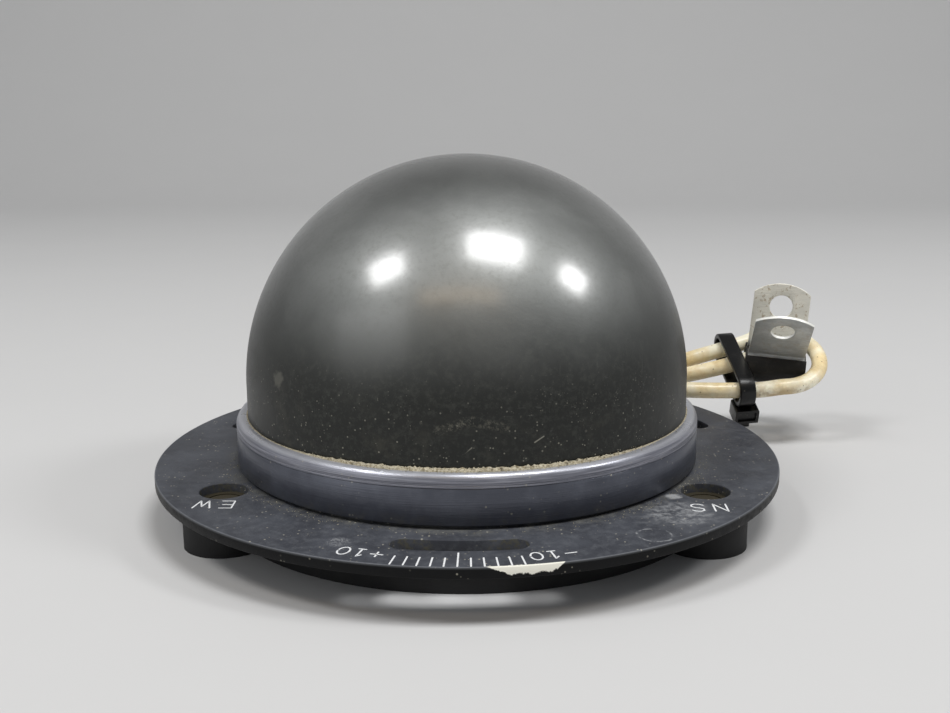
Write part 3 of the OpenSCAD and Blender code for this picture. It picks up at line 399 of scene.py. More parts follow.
def joined(mesh, tool, operation):
    """The mesh with a tool's shape added to it or cut from it."""
    pair = [placed(part.name, part) for part in (mesh, tool)]
    change = pair[0].modifiers.new("change", "BOOLEAN")
    change.operation, change.solver, change.object = operation, "EXACT", pair[1]
    result = mesh_of(pair[0])
    for part in pair:
        bpy.data.objects.remove(part)
    return closed(result)


def turned(outline, name, turns=240):
    """A closed outline of radius and height turned about the axis."""
    count = len(outline)
    verts = [(*polar(r, 360 * k / turns), z) for k in range(turns) for r, z in outline]
    faces = [(k * count + i, (k + 1) % turns * count + i, (k + 1) % turns * count + (i + 1) % count,
              k * count + (i + 1) % count) for k in range(turns) for i in range(count)]
    mesh = bpy.data.meshes.new(name)
    mesh.from_pydata(verts, [], faces)
    return closed(mesh)


def prism(outline, low, high, name):
    """A straight-sided solid on an outline."""
    work = bmesh.new()
    base = work.faces.new([work.verts.new((x, y, low)) for x, y in outline])
    grown = bmesh.ops.extrude_face_region(work, geom=[base])
    top = [v for v in grown["geom"] if isinstance(v, bmesh.types.BMVert)]
    bmesh.ops.translate(work, verts=top, vec=(0, 0, high - low))
    mesh = bpy.data.meshes.new(name)
    work.to_mesh(mesh)
    work.free()
    return closed(mesh)


def pan_outline(grow):
    """The compensator pan's outline: a round body with a lobe under each access hole."""
    body, lobe = PAN_BODY + grow, PAN_LOBE + grow
    right, left = KNOB_ANGLES
    centre_right, centre_left = polar(KNOB_CIRCLE, right), polar(KNOB_CIRCLE, left)
    reach, swing = (
        math.degrees(math.acos((KNOB_CIRCLE**2 + own**2 - other**2) / (2 * KNOB_CIRCLE * own)))
        for own, other in ((body, lobe), (lobe, body)))
    return (arc_of((0, 0), body, right + reach, left - reach, 180)
            + arc_of(centre_left, lobe, left - 180 + swing, left + 180 - swing, 48)[1:-1]
            + arc_of((0, 0), body, left + reach, right + 360 - reach, 90)
            + arc_of(centre_right, lobe, right - 180 + swing, right + 180 - swing, 48)[1:-1])


plate = blank("flange_plate", [circle_of((0, 0), RIM, 360)] + [slot_outline(a) for a in SLOT_ANGLES]
              + [circle_of(polar(KNOB_CIRCLE, a), ACCESS_RADIUS, 64) for a in KNOB_ANGLES],
              TOP - UNDER, 0.25 * MM)
plate.transform(Matrix.Translation((0, 0, (UNDER + TOP) / 2)))
plate = joined(plate, prism(pan_outline(PAN_PLAY), UNDER - MM, SEAT, "pan_seat"), "DIFFERENCE")
spigot = turned([(SPIGOT_IN, TOP - MM), (SPIGOT_OUT, TOP - MM), (SPIGOT_OUT, SPIGOT_TOP),
                 (SPIGOT_IN, SPIGOT_TOP)], "spigot", 180)
plate = joined(plate, spigot, "UNION")

anodise = Finish("blue_black_anodise", Specular_IOR_Level=0.14)
reach = (anodise.x * anodise.x + anodise.y * anodise.y) ** 0.5
upper = anodise.z.between(TOP - 0.15 * MM, TOP - 0.05 * MM)
mottle = anodise.clouds(0.009, 4, 0.6).between(0.35, 0.68)
film = anodise.clouds(0.0016, 4, 0.7).between(0.42, 0.75)
fine_dust = anodise.grains(0.00055, 0.10) * anodise.clouds(0.006, 2).between(0.42, 0.62)
foot_dust = reach.between(48.5 * MM, 44.7 * MM) * anodise.clouds(0.004, 4, 0.7).between(0.4, 0.62)
brim = reach.between(60 * MM, 60.22 * MM) * anodise.z.between(9.5 * MM, 9.95 * MM)
sweep = anodise.node("Math", {"operation": "ARCTAN2"}, {0: anodise.y, 1: anodise.x})
# Painted shade: the rim's side face is painted near black, as if in shadow.
rim_face_shade = reach.between(59.8 * MM, 60.2 * MM) * (1 - upper)
hollow = reach.between(56.5 * MM, 56 * MM) * (1 - upper)
wells = ([polar(KNOB_CIRCLE, a) for a in KNOB_ANGLES]
         + [polar(SLOT_RADIUS, SLOT_ANGLES[0] + s * SLOT_HALF) for s in (1, -1)])
well = sum(anodise.vector("DISTANCE", anodise.place, (*at, (UNDER + TOP) / 2), 1).between(
    5.2 * MM, 4.6 * MM) for at in wells)


def worn_between(start, full_from, full_to, end):
    """1 along a stretch of the rim, given in degrees, and fading at both of its ends."""
    return (sweep.between(math.radians(start), math.radians(full_from))
            * sweep.between(math.radians(end), math.radians(full_to)))


chip_depth = worn_between(-87, -82, -76, -73.6) * (0.0024 - 0.0018 * anodise.clouds(0.0022, 4, 0.75))
chip = reach.between(60 * MM, 60.2 * MM) * (anodise.z - TOP + chip_depth).between(0.1 * MM, 0.3 * MM)
scrape = (worn_between(-86, -83, -78, -74) * reach.between(59.8 * MM, 60.2 * MM) * upper
          * anodise.clouds(0.0011, 3, 0.7).between(0.52, 0.6))
loop_spot = (anodise.vector("DISTANCE", anodise.place, Vector((31.4, -46.7, 10)) * MM, 1)
             + (anodise.clouds(0.004, 2) - 0.5) * 0.0016)
smear_loop = (loop_spot.between(2.4 * MM, 2.7 * MM) * loop_spot.between(3.1 * MM, 2.8 * MM)
              * anodise.clouds(0.0012, 3, 0.7).between(0.42, 0.6))
haze = (anodise.patch((36.5, -36.5, 10), 7.5, 6, 0.003)
        * anodise.clouds(0.0014, 4, 0.7).between(0.35, 0.7))
blob = anodise.patch((37, -27.9, 10), 1.8, 1.6, 0.001)
swirl_spot = anodise.vector("DISTANCE", anodise.place, Vector((-19.3, -49.9, 10)) * MM, 1)
swirl = swirl_spot.between(2.4 * MM, 1.2 * MM) * anodise.clouds(0.0008, 3, 0.7, 1.5).between(0.45, 0.65)
tone = anodise.layered(
    shade(60, 62, 68), (mottle * 0.6, shade(80, 83, 90)), (film * 0.3, shade(112, 115, 120)),
    (rim_face_shade * 0.95, shade(8, 8, 8)),
    (hollow * well * anodise.clouds(0.0009, 4, 0.7).between(0.44, 0.66) * 0.7, shade(88, 85, 70)),
    (upper * foot_dust * 0.35, shade(118, 117, 108)),
    (upper * (smear_loop * 0.45 | haze * 0.5 | blob * 0.8 | swirl * 0.4), shade(178, 180, 182)),
    (fine_dust * 0.7, shade(176, 172, 158)), (brim * 0.2, shade(168, 172, 178)),
    (chip | scrape, shade(246, 244, 232)))
flange_finish = anodise.laid(tone, 0.42 + 0.16 * film + 0.2 * (chip | foot_dust),
                             anodise.relief(anodise.clouds(0.0004, 2) + chip * -1.5, 0.00004, 0.6))
dressed("anodised_flange", plate, flange_finish, ["mounting_flange"], smooth=25)

# ---- Scale: the index lines, numbers and letters on the flange. They are cut by an engraver's
# cutter and filled with white paint, which stands a hair above the anodise.
PAINT_Z, STROKE = TOP + 0.012 * MM, 0.30 * MM
INDEX_LONG, INDEX_SHORT, INDEX_END, INDEX_STEP = 54.5 * MM, 56.63 * MM, 60 * MM, 2


def oval(width, height, start=0, end=360, count=21, lift=0.5):
    return [(width / 2 * math.cos(a), height * (lift + 0.5 * math.sin(a)))
            for a in np.radians(np.linspace(start, end, count))]


GLYPHS = {
    "0": [oval(0.62, 1)],
    "1": [[(-0.2, 0.78), (0.0, 1), (0.0, 0)], [(-0.2, 0), (0.2, 0)]],
    "+": [[(-0.32, 0.5), (0.32, 0.5)], [(0, 0.18), (0, 0.82)]],
    "-": [[(-0.3, 0.5), (0.3, 0.5)]],
    "E": [[(0.3, 1), (-0.3, 1), (-0.3, 0), (0.3, 0)], [(-0.3, 0.52), (0.2, 0.52)]],
    "W": [[(-0.42, 1), (-0.2, 0), (0, 0.8), (0.2, 0), (0.42, 1)]],
    "N": [[(-0.3, 0), (-0.3, 1), (0.3, 0), (0.3, 1)]],
    "S": [[(0.28, 0.84), (0.14, 0.97), (-0.1, 1), (-0.27, 0.87), (-0.26, 0.66), (-0.08, 0.54),
           (0.1, 0.48), (0.27, 0.34), (0.27, 0.13), (0.1, 0), (-0.14, 0.03), (-0.29, 0.16)]],
}


def stroke(work, line, width):
    """A flat painted line with round joints."""
    for (ax, ay), (bx, by) in zip(line[:-1], line[1:]):
        run = math.hypot(bx - ax, by - ay)
        nx, ny = -(by - ay) / run * width / 2, (bx - ax) / run * width / 2
        work.faces.new([work.verts.new((x, y, PAINT_Z)) for x, y in (
            (ax + nx, ay + ny), (ax - nx, ay - ny), (bx - nx, by - ny), (bx + nx, by + ny))])
    for x, y in line:
        work.faces.new([work.verts.new((x + px, y + py, PAINT_Z + 1e-6))
                        for px, py in arc_of((0, 0), width / 2, 0, 330, 12)])


scale_work = bmesh.new()
for i in range(-5, 6):
    around = SLOT_ANGLES[0] + INDEX_STEP * i
    stroke(scale_work, [polar(INDEX_SHORT if i else INDEX_LONG, around), polar(INDEX_END, around)],
           STROKE * 0.95)
numerals = [(glyph, polar(radius, around), around, 3.0) for glyph, radius, around in (
    ("0", 56.6, -108.6), ("1", 56.6, -105.9), ("+", 56.6, -103.0),
    ("0", 57.1, -77.7), ("1", 57.1, -75.0), ("-", 57.1, -72.1))]
letters = [(glyph, at, -90, 3.6) for glyph, at in (
    ("E", (-41.0, -32.3)), ("W", (-45.2, -32.3)), ("N", (44.3, -33.7)), ("S", (40.4, -33.7)))]
for glyph, at, up, height in numerals + letters:
    turn = math.radians(up - 90)
    for line in GLYPHS[glyph]:
        stroke(scale_work, [((at[0] + height * (x * math.cos(turn) - (y - 0.5) * math.sin(turn))) * MM,
                             (at[1] + height * (x * math.sin(turn) + (y - 0.5) * math.cos(turn))) * MM)
                            for x, y in line], STROKE)
scale_mesh = bpy.data.meshes.new("index_scale")
scale_work.to_mesh(scale_mesh)
scale_work.free()
paint = Finish("scale_paint")
worn = paint.clouds(0.0009, 3, 0.6).between(0.55, 0.75)
tone = paint.over(shade(232, 234, 236), worn * 0.5, shade(150, 154, 160))
scale_finish = paint.laid(tone, 0.5 + 0.1 * worn)
dressed("index_scale", scale_mesh, scale_finish)

# ---- Dome: the fluid bowl, a 2 mm hemisphere pressed in one piece with a straight foot and a bead
# that the clamp ring holds. It has a thin satin black coat, rubbed, scratched and dusty low down.
# Its colour carries painted shade: darker at the crown and much darker over the lower half.
DOME, DOME_IN, PIVOT_Z = 42.5 * MM, 40.5 * MM, 25.6 * MM
BEAD, BEAD_Z, LIP_Z = 43.4 * MM, 13.6 * MM, 15.6 * MM
outside = arc_of((0, PIVOT_Z), DOME, 0, 90, 80)
inside = arc_of((0, PIVOT_Z), DOME_IN, 90, 0, 40)
foot = [(DOME_IN, BEAD_Z), (BEAD, BEAD_Z), (BEAD, LIP_Z), (DOME, LIP_Z), (DOME, (LIP_Z + PIVOT_Z) / 2)]

coat = Finish("rubbed_black_coat", Metallic=0.8, Specular_IOR_Level=0.4, Coat_Roughness=0.2,
              Coat_IOR=1.75)
low_down = coat.z.between(38 * MM, 21 * MM)
cloudy = coat.clouds(0.014, 5, 0.6, 0.4).between(0.35, 0.7)
speckle = coat.clouds(0.0011, 4, 0.75).between(0.45, 0.7)
# Painted shade: the crown is painted darker, to dim its sheen under the lamps.
crown_shade = coat.z.between(58.5 * MM, 67.2 * MM)
# Painted shade: the lower half is painted much darker, to dim the floor's reflection in it.
skirt_shade = coat.z.between(52 * MM, 28 * MM)
scratch_grain = coat.clouds(0.0007, 2, 0.5, 0, coat.stretched(0.06, 1, 1)).between(0.66, 0.76)
cross_grain = coat.clouds(0.0007, 2, 0.5, 0, coat.stretched(1, 0.2, 0.07)).between(0.68, 0.78)
rubbed = (scratch_grain * 0.5 | cross_grain * 0.5) * coat.clouds(0.016, 2).between(0.45, 0.62)
dust = coat.grains(0.00045, 0.05) * low_down | coat.grains(0.0008, 0.006) * low_down
dust = dust | coat.grains(0.0003, 0.12) * coat.clouds(0.005, 3, 0.6).between(0.5, 0.66) * low_down
marks = (coat.streak((-0.5, -42.3, 21.3), (1.9, -42.4, 23.4), 0.16)
         | coat.streak((12.2, -40.7, 23.8), (13.7, -40.2, 24.7), 0.16)
         | coat.patch((-32.1, -27.3, 31.2), 1.8, 2.6, 0.0012) * 0.3)
arc_dust = coat.clouds(0.0007, 3, 0.8).between(0.46, 0.66) * (
    coat.streak((-3.6, -42.4, 26.2), (1.8, -42.4, 27.9), 1.1)
    | coat.streak((1.8, -42.4, 27.9), (7.3, -41.9, 26.6), 1.1))
tone = coat.layered(
    shade(122, 124, 122), (cloudy * 0.6, shade(138, 140, 138)), (crown_shade * 0.7, shade(76, 78, 76)),
    (skirt_shade * 0.9, shade(30, 31, 29)), (speckle * 0.22, shade(104, 106, 100)),
    (rubbed * 0.35, shade(120, 122, 118)),
    (low_down * coat.clouds(0.007, 4, 0.7).between(0.5, 0.8) * 0.35, shade(98, 96, 86)),
    (arc_dust * 0.5, shade(140, 138, 126)), (dust * 0.7 | marks * 0.6, shade(186, 184, 170)))
coat.join(0.08 + 0.92 * coat.z.between(32 * MM, 52 * MM), coat.shader.inputs["Coat Weight"])
dome_finish = coat.laid(tone, 0.45 + 0.1 * cloudy + 0.08 * speckle + 0.25 * (dust | arc_dust),
                        coat.relief(coat.clouds(0.0006, 3, 0.6), 0.00003, 0.5,
                                    coat.relief(coat.clouds(0.012, 2), 0.0004, 0.25)))
dressed("fluid_bowl", turned(foot + outside + inside, "fluid_bowl", 256), dome_finish,
        ["dome"], smooth=35)

# ---- Clamp ring: turned aluminium, dyed blue-black, screwed on the flange's spigot over the dome's
# bead. Its upper edge is round and polished by handling, with fine turning lines under it. The band
# above the lowest turning line carries a painted highlight, and the round edge a painted highlight
# over its polish.
RING, RING_LOW, RING_TOP, RING_ROUND = 44.7 * MM, 10.6 * MM, 19.5 * MM, 1.5 * MM
LIP, THREAD = 42.75 * MM, 43.55 * MM


def groove(z, depth, width):
    """A turning line in the ring's wall, from below upwards."""
    return [(RING, z - width), (RING - depth, z), (RING, z + width)]


ring_outline = ([(THREAD, RING_LOW), (RING - 0.2 * MM, RING_LOW), (RING, RING_LOW + 0.2 * MM),
                 (RING, 14 * MM)]
                + [point for z, depth, width in ((17.02, 0.09, 0.1), (17.28, 0.03, 0.07),
                                                 (17.5, 0.05, 0.07), (17.75, 0.03, 0.07))
                   for point in groove(z * MM, depth * MM, width * MM)]
                + arc_of((RING - RING_ROUND, RING_TOP - RING_ROUND), RING_ROUND, 0, 90, 14)
                + [(LIP, RING_TOP), (LIP, LIP_Z), (THREAD, LIP_Z)])
dyed = Finish("ring_anodise", Specular_IOR_Level=0.5, Metallic=0.5)
circle = (dyed.x * dyed.x + dyed.y * dyed.y) ** 0.5
lathe_lines = dyed.clouds(0.00022, 2, 0.6, 0, dyed.stretched(0.02, 0.02, 1)).between(0.4, 0.7)
# Painted highlight: the band above the lowest turning line is painted lighter; the lathe lines in it
# are the ring's own.
band_highlight = dyed.z.between(17 * MM, 17.3 * MM)
# The round top edge is polished, with lower roughness, and painted near white as a painted highlight.
polish_and_highlight = circle.between(44.6 * MM, 44.1 * MM) * dyed.z.between(18.3 * MM, 19.1 * MM)
ring_dust = dyed.grains(0.0006, 0.08) * dyed.clouds(0.008, 3, 0.6).between(0.45, 0.65)
foot_grime = dyed.z.between(12.8 * MM, 11.2 * MM) * dyed.clouds(0.003, 4, 0.7).between(0.46, 0.7)
haze = dyed.clouds(0.007, 4, 0.65).between(0.4, 0.7)
tone = dyed.layered(
    shade(84, 87, 97), (haze * 0.45, shade(108, 112, 123)),
    (band_highlight * (0.35 + 0.5 * lathe_lines), shade(168, 169, 180)), (polish_and_highlight * 0.5, shade(216, 218, 224)),
    (foot_grime * 0.35, shade(120, 117, 108)), (ring_dust * 0.6, shade(182, 178, 164)))
ring_finish = dyed.laid(tone, 0.33 + 0.1 * haze - 0.06 * polish_and_highlight + 0.3 * foot_grime,
                        dyed.relief(lathe_lines + 0.4 * dyed.clouds(0.0005, 2), 0.00002, 0.6))
dressed("clamp_ring_anodised", turned(ring_outline, "clamp_ring_anodised", 256), ring_finish,
        ["clamp_ring"], smooth=50)

# ---- Dust: cream carpet and shelf dust packed in the joint between the dome and the clamp ring,
# thickest at the front, with loose grains on the joint and at the ring's foot.
SEEDS = {"joint": 4, "foot": 9, "flange": 15}


def thickness_at(degrees):
    """How full the joint is at an angle about the axis: 1 in front, thin at the sides."""
    front = max(0.0, 1 - max(0.0, abs(degrees + 87) - 20) / 34)
    return 0.16 + 0.84 * front * front * (3 - 2 * front)


packed_verts, STEPS, ACROSS, JOINT = [], 720, 9, 42.46
for k in range(STEPS):
    degrees = 360 * k / STEPS - 180
    fill = thickness_at(degrees)
    for j in range(ACROSS):
        t = j / (ACROSS - 1)
        ripple = noise.fractal((*polar(60, degrees), t * 2.4 + 7), 0.6, 2.1, 4)
        fine = noise.noise((*polar(160, degrees), t * 5))
        crest = math.sin(math.pi * t) * (0.4 + 0.34 * ripple + 0.22 * fine) * fill
        radius = JOINT + t * (0.28 + 0.62 * fill)
        lift = max(-0.1, crest + 0.25 * fill * (1 - t)) - 0.04
        packed_verts.append((*polar(radius * MM, degrees), RING_TOP + lift * MM))
    packed_verts.append((*polar((JOINT + 0.14) * MM, degrees), RING_TOP - 0.8 * MM))
row = ACROSS + 1
packed_faces = [(k * row + j, (k + 1) % STEPS * row + j, (k + 1) % STEPS * row + (j + 1) % row,
                 k * row + (j + 1) % row) for k in range(STEPS) for j in range(row)]
packed = bpy.data.meshes.new("joint_dust")
packed.from_pydata(packed_verts, [], packed_faces)
grit = Finish("cream_dust", Specular_IOR_Level=0.2)
dark_grit = grit.clouds(0.0009, 3, 0.7).between(0.52, 0.7)
tone = grit.layered(
    shade(198, 191, 170), (grit.clouds(0.0004, 3, 0.7).between(0.4, 0.65), shade(150, 139, 114)),
    (dark_grit * 0.8, shade(74, 66, 52)))
dust_finish = grit.laid(tone, 0.9, grit.relief(grit.clouds(0.0003, 3, 0.8), 0.0002, 0.9))
dressed("joint_dust", closed(packed), dust_finish, smooth=60)


def scatter_tree():
    """Grains of dust laid at random on a face, by the amount that each corner carries."""
    tree = bpy.data.node_groups.new("scattered_grains", "GeometryNodeTree")
    for label, kind in (("Ground", "Geometry"), ("Grains per square metre", "Float"),
                        ("Grain size", "Float"), ("Seed", "Int"), ("Finish", "Material")):
        tree.interface.new_socket(label, in_out="INPUT", socket_type="NodeSocket" + kind)
    tree.interface.new_socket("Grains", in_out="OUTPUT", socket_type="NodeSocketGeometry")
    made = {}
    for key, kind in (("given", "NodeGroupInput"), ("amount", "GeometryNodeInputNamedAttribute"),
                      ("spread", "GeometryNodeDistributePointsOnFaces"), ("per_area", "ShaderNodeMath"),
                      ("grain", "GeometryNodeMeshIcoSphere"), ("turn", "FunctionNodeRandomValue"),
                      ("size", "FunctionNodeRandomValue"), ("sized", "ShaderNodeVectorMath"),
                      ("place", "GeometryNodeInstanceOnPoints"),
                      ("real", "GeometryNodeRealizeInstances"),
                      ("paint", "GeometryNodeSetMaterial"), ("result", "NodeGroupOutput")):
        made[key] = tree.nodes.new(kind)
    made["amount"].data_type = "FLOAT"
    made["amount"].inputs["Name"].default_value = "amount"
    made["per_area"].operation = "MULTIPLY"
    made["turn"].data_type = made["size"].data_type = "FLOAT_VECTOR"
    made["turn"].inputs[1].default_value = (6.28, 6.28, 6.28)
    made["size"].inputs[0].default_value = (0.3, 0.3, 0.2)
    made["size"].inputs[1].default_value = (1.2, 1.0, 0.8)
    made["sized"].operation = "SCALE"
    made["grain"].inputs["Subdivisions"].default_value = 1
    made["grain"].inputs["Radius"].default_value = 0.5
    for a, out, b, into in (
            ("given", 0, "spread", "Mesh"), ("given", 1, "per_area", 0), ("amount", 0, "per_area", 1),
            ("per_area", 0, "spread", "Density"), ("given", 3, "spread", "Seed"),
            ("spread", 0, "place", "Points"), ("grain", 0, "place", "Instance"),
            ("given", 3, "turn", "Seed"), ("given", 3, "size", "Seed"),
            ("turn", 0, "place", "Rotation"), ("size", 0, "sized", 0),
            ("given", 2, "sized", "Scale"), ("sized", 0, "place", "Scale"),
            ("place", 0, "real", 0), ("real", 0, "paint", 0), ("given", 4, "paint", "Material"),
            ("paint", 0, "result", 0)):
        tree.links.new(made[a].outputs[out], made[b].inputs[into])
    return tree


def scattered(name, ground_rings, amount, density, size, seed):
    """Loose grains on a strip between two rings of (radius, height), by an amount at each angle."""
    turns = 360
    ground = bpy.data.meshes.new(name)
    ground.from_pydata(
        [(*polar(r * MM, k), z * MM) for k in range(turns) for r, z in ground_rings], [],
        [(2 * k, 2 * ((k + 1) % turns), 2 * ((k + 1) % turns) + 1, 2 * k + 1) for k in range(turns)])
    layer = ground.attributes.new("amount", "FLOAT", "POINT")
    layer.data.foreach_set("value", [amount((k + 180) % 360 - 180, j)
                                     for k in range(turns) for j in (0, 1)])
    carrier = placed(name, ground)
    sow = carrier.modifiers.new("sow", "NODES")
    sow.node_group = grain_scatter
    named = {item.name: item.identifier for item in grain_scatter.interface.items_tree
             if item.in_out == "INPUT"}
    sow[named["Grains per square metre"]] = density
    sow[named["Grain size"]] = size * MM
    sow[named["Seed"]] = seed
    sow[named["Finish"]] = dust_finish
    mesh = mesh_of(carrier)
    mesh.name = name
    bpy.data.objects.remove(carrier)
    return dressed(name, mesh, dust_finish, smooth=20)


def foot_amount(degrees, outer):
    """Grains gather at the ring's foot by the two access holes and thin out towards the front."""
    left = math.exp(-((degrees + 138) / 22) ** 2)
    right = math.exp(-((degrees + 40) / 20) ** 2)
    return (0.12 + left + right) * (0.12 if outer else 1.0)


grain_scatter = scatter_tree()
scattered("joint_grains", [(42.55, 19.95), (43.7, 19.5)], lambda a, j: thickness_at(a) ** 2,
          9e6, 0.22, SEEDS["joint"])
scattered("foot_grains", [(44.9, 10.05), (47.4, 10.05)], foot_amount, 2.0e6, 0.2, SEEDS["foot"])
scattered("flange_grains", [(45, 10.04), (59.5, 10.04)], lambda a, j: 0.7 if a < 0 else 0.3,
          1.2e4, 0.17, SEEDS["flange"])

# ---- Tie: a black nylon cable tie drawn round three runs of the lead. Its strap passes through the
# head at the low end and is cut off just beyond it.
TIE_AT, TIE_TILT, TIE_SLANT = Vector((60.62, 43.99, 15.88)), 24.2, 7.1
TIE_REACH, TIE_MID, TIE_WIDTH, TIE_THICK = 7.8, 3.15, 3.6, 1.1
HEAD_AT, HEAD_SIZE = (0.4, -8.8, -5.3), (5.4, 5, 3.6)
STUB_AT, STUB_SIZE = (0, -9.25, -8.05), (3.6, 1, 2.9)
tie_place = (Matrix.Translation(TIE_AT * MM) @ Matrix.Rotation(math.radians(TIE_TILT), 4, "X")
             @ Matrix.Rotation(math.radians(TIE_SLANT), 4, "Z"))


def rounded(width, height, corner):
    """A rectangle with round corners, given in millimetres, as pairs in metres."""
    return [(x * MM, y * MM) for sx, sy, start in ((1, 1, 0), (-1, 1, 90), (-1, -1, 180), (1, -1, 270))
            for x, y in arc_of((sx * (width / 2 - corner), sy * (height / 2 - corner)), corner,
                               start, start + 90, 4)]


def softened(work, faces_of, width, segments):
    """Rounds all the edges of a block."""
    bmesh.ops.bevel(work, geom=list(faces_of), offset=width, segments=segments, profile=0.5,
                    affect="EDGES")


def block(work, at, size):
    """A block of the tie, from its centre and its size in millimetres."""
    matrix = Matrix.Translation(Vector(at) * MM) @ Matrix.Diagonal((*(Vector(size) * MM), 1))
    return bmesh.ops.create_cube(work, size=1, matrix=matrix)["verts"]


straight, bend = np.linspace(-TIE_REACH, TIE_REACH, 13)[:-1], np.linspace(0, math.pi, 17)[:-1]
tie_line = [(0, s * y, s * z) for s in (1, -1) for y, z in (
    [(y, TIE_MID) for y in straight]
    + [(TIE_REACH + TIE_MID * math.sin(a), TIE_MID * math.cos(a)) for a in bend])]
strap = swept(np.array(tie_line) * MM, rounded(TIE_WIDTH, TIE_THICK, 0.28), "tie_strap",
              loop=True, frames=[(1, 0, 0)] * len(tie_line))
tie_work = bmesh.new()
tie_work.from_mesh(strap)
head = block(tie_work, HEAD_AT, HEAD_SIZE)
head_faces = {f for v in head for f in v.link_faces}
under = min(head_faces, key=lambda f: f.calc_center_median().z)
front = min(head_faces, key=lambda f: f.calc_center_median().y)
for face, rim_width, depth in ((under, 0.7, 0.9), (front, 0.9, 0.5)):
    bmesh.ops.inset_region(tie_work, faces=[face], thickness=rim_width * MM)
    bmesh.ops.inset_region(tie_work, faces=[face], thickness=0.12 * MM, depth=-depth * MM)
head_edges = {e for v in head for e in v.link_edges if e.calc_length() > 3 * MM}
softened(tie_work, head_edges, 0.45 * MM, 3)
stub = block(tie_work, STUB_AT, STUB_SIZE)
softened(tie_work, {e for v in stub for e in v.link_edges}, 0.2 * MM, 2)
tie_work.transform(tie_place)
tie_mesh = bpy.data.meshes.new("nylon_tie")
tie_work.to_mesh(tie_mesh)
tie_work.free()
nylon = Finish("black_nylon", Specular_IOR_Level=0.35)
scuffed = nylon.clouds(0.0012, 3, 0.7).between(0.5, 0.75)
tone = nylon.layered(shade(14, 14, 15), (scuffed * 0.3, shade(44, 42, 38)),
                     (nylon.grains(0.0005, 0.03) * 0.4, shade(120, 116, 104)))
tie_finish = nylon.laid(tone, 0.3 + 0.2 * scuffed, nylon.relief(nylon.clouds(0.0005, 2), 0.00004, 0.6))
tie = dressed("nylon_tie", tie_mesh, tie_finish, ["cable_tie"], smooth=40)

# ---- Loop clamp: a strip of half-inch aluminium, crowned and pierced at both ends, bent to a loop
# round its black cushion. Its ears stand apart; the back one is spotted and painted lighter as painted
# light, and the strip's cut edges carry a painted highlight.
BAND_WIDTH, BAND_THICK, BAND_MID = 12.7, 0.8, 3.8
EAR, EAR_HOLE, HOLE_DROP, CROWN, EAR_BEND, BEND_ANGLE = 15, 2.6, 5.3, 10.0, 1.0, 14
FRONT_ROOT, FRONT_LEAN, BACK_ROOT, BACK_LEAN = 134, 44, 78, -1.5


def ear_side(root, lean, turn):
    """Middle line of an ear in section, from its tip to the loop."""
    foot_at, up = np.array(polar(BAND_MID, root)), np.array(polar(1, 90 + lean))
    start, end = foot_at + EAR_BEND * up, np.array(polar(BAND_MID, root + turn * BEND_ANGLE))
    return [foot_at + EAR * up, foot_at + 3 * EAR_BEND * up] + [
        (1 - t) ** 2 * start + 2 * t * (1 - t) * foot_at + t * t * end for t in np.linspace(0, 1, 9)]


loop_ends = FRONT_ROOT + BEND_ANGLE, BACK_ROOT - BEND_ANGLE + 360
section = np.array(ear_side(FRONT_ROOT, FRONT_LEAN, 1) + arc_of((0, 0), BAND_MID, *loop_ends, 64)[1:-1]
                   + ear_side(BACK_ROOT, BACK_LEAN, -1)[::-1])
gaps = np.linalg.norm(np.diff(section, axis=0), axis=1)
marks_along = np.concatenate([[0], np.cumsum(gaps)])
LENGTH = marks_along[-1]
crown_spread = math.degrees(math.asin(BAND_WIDTH / 2 / CROWN))
strip_outline = (arc_of((CROWN, 0), CROWN, 180 + crown_spread, 180 - crown_spread, 15)
                 + arc_of((LENGTH - CROWN, 0), CROWN, crown_spread, -crown_spread, 15))
strip = blank("clamp_strip", [[(x * MM, y * MM) for x, y in outline] for outline in (
    strip_outline, circle_of((HOLE_DROP, 0), EAR_HOLE, 40),
    circle_of((LENGTH - HOLE_DROP, 0), EAR_HOLE, 40))], BAND_THICK * MM, 0.14 * MM)
work = bmesh.new()
work.from_mesh(strip)
for along in marks_along[1:-1]:
    bmesh.ops.bisect_plane(work, geom=work.verts[:] + work.edges[:] + work.faces[:], dist=1e-8,
                           plane_co=(along * MM, 0, 0), plane_no=(1, 0, 0))
tangents = np.vstack([np.diff(section, axis=0), np.diff(section, axis=0)[-1:]])
tangents /= np.linalg.norm(tangents, axis=1)[:, None]
tangents[1:] = tangents[1:] + tangents[:-1]
tangents /= np.linalg.norm(tangents, axis=1)[:, None]
cut_edge = work.verts.layers.float.new("cut_edge")
for v in work.verts:
    v[cut_edge] = abs(v.co.z) < 0.3 * MM
    along = min(max(v.co.x / MM, 0), LENGTH)
    middle = [np.interp(along, marks_along, section[:, c]) for c in (0, 1)]
    heading = [np.interp(along, marks_along, tangents[:, c]) for c in (0, 1)]
    size = math.hypot(*heading)
    lift = v.co.z / MM
    v.co = clamp_place @ (Vector((v.co.y / MM, middle[0] - lift * heading[1] / size,
                                  middle[1] + lift * heading[0] / size)) * MM)
work.to_mesh(strip)
work.free()
metal = Finish("dull_aluminium", Specular_IOR_Level=0.5)
brushed = metal.clouds(0.00035, 3, 0.6, 0, metal.stretched(0.12, 1, 1)).between(0.35, 0.7)
dulled = metal.clouds(0.006, 4, 0.6).between(0.4, 0.68)
# Painted light: the back ear is painted much lighter than the front one; its spots are real.
lit_back_ear = metal.y.between(43.5 * MM, 44.5 * MM) * metal.z.between(21.5 * MM, 23 * MM)
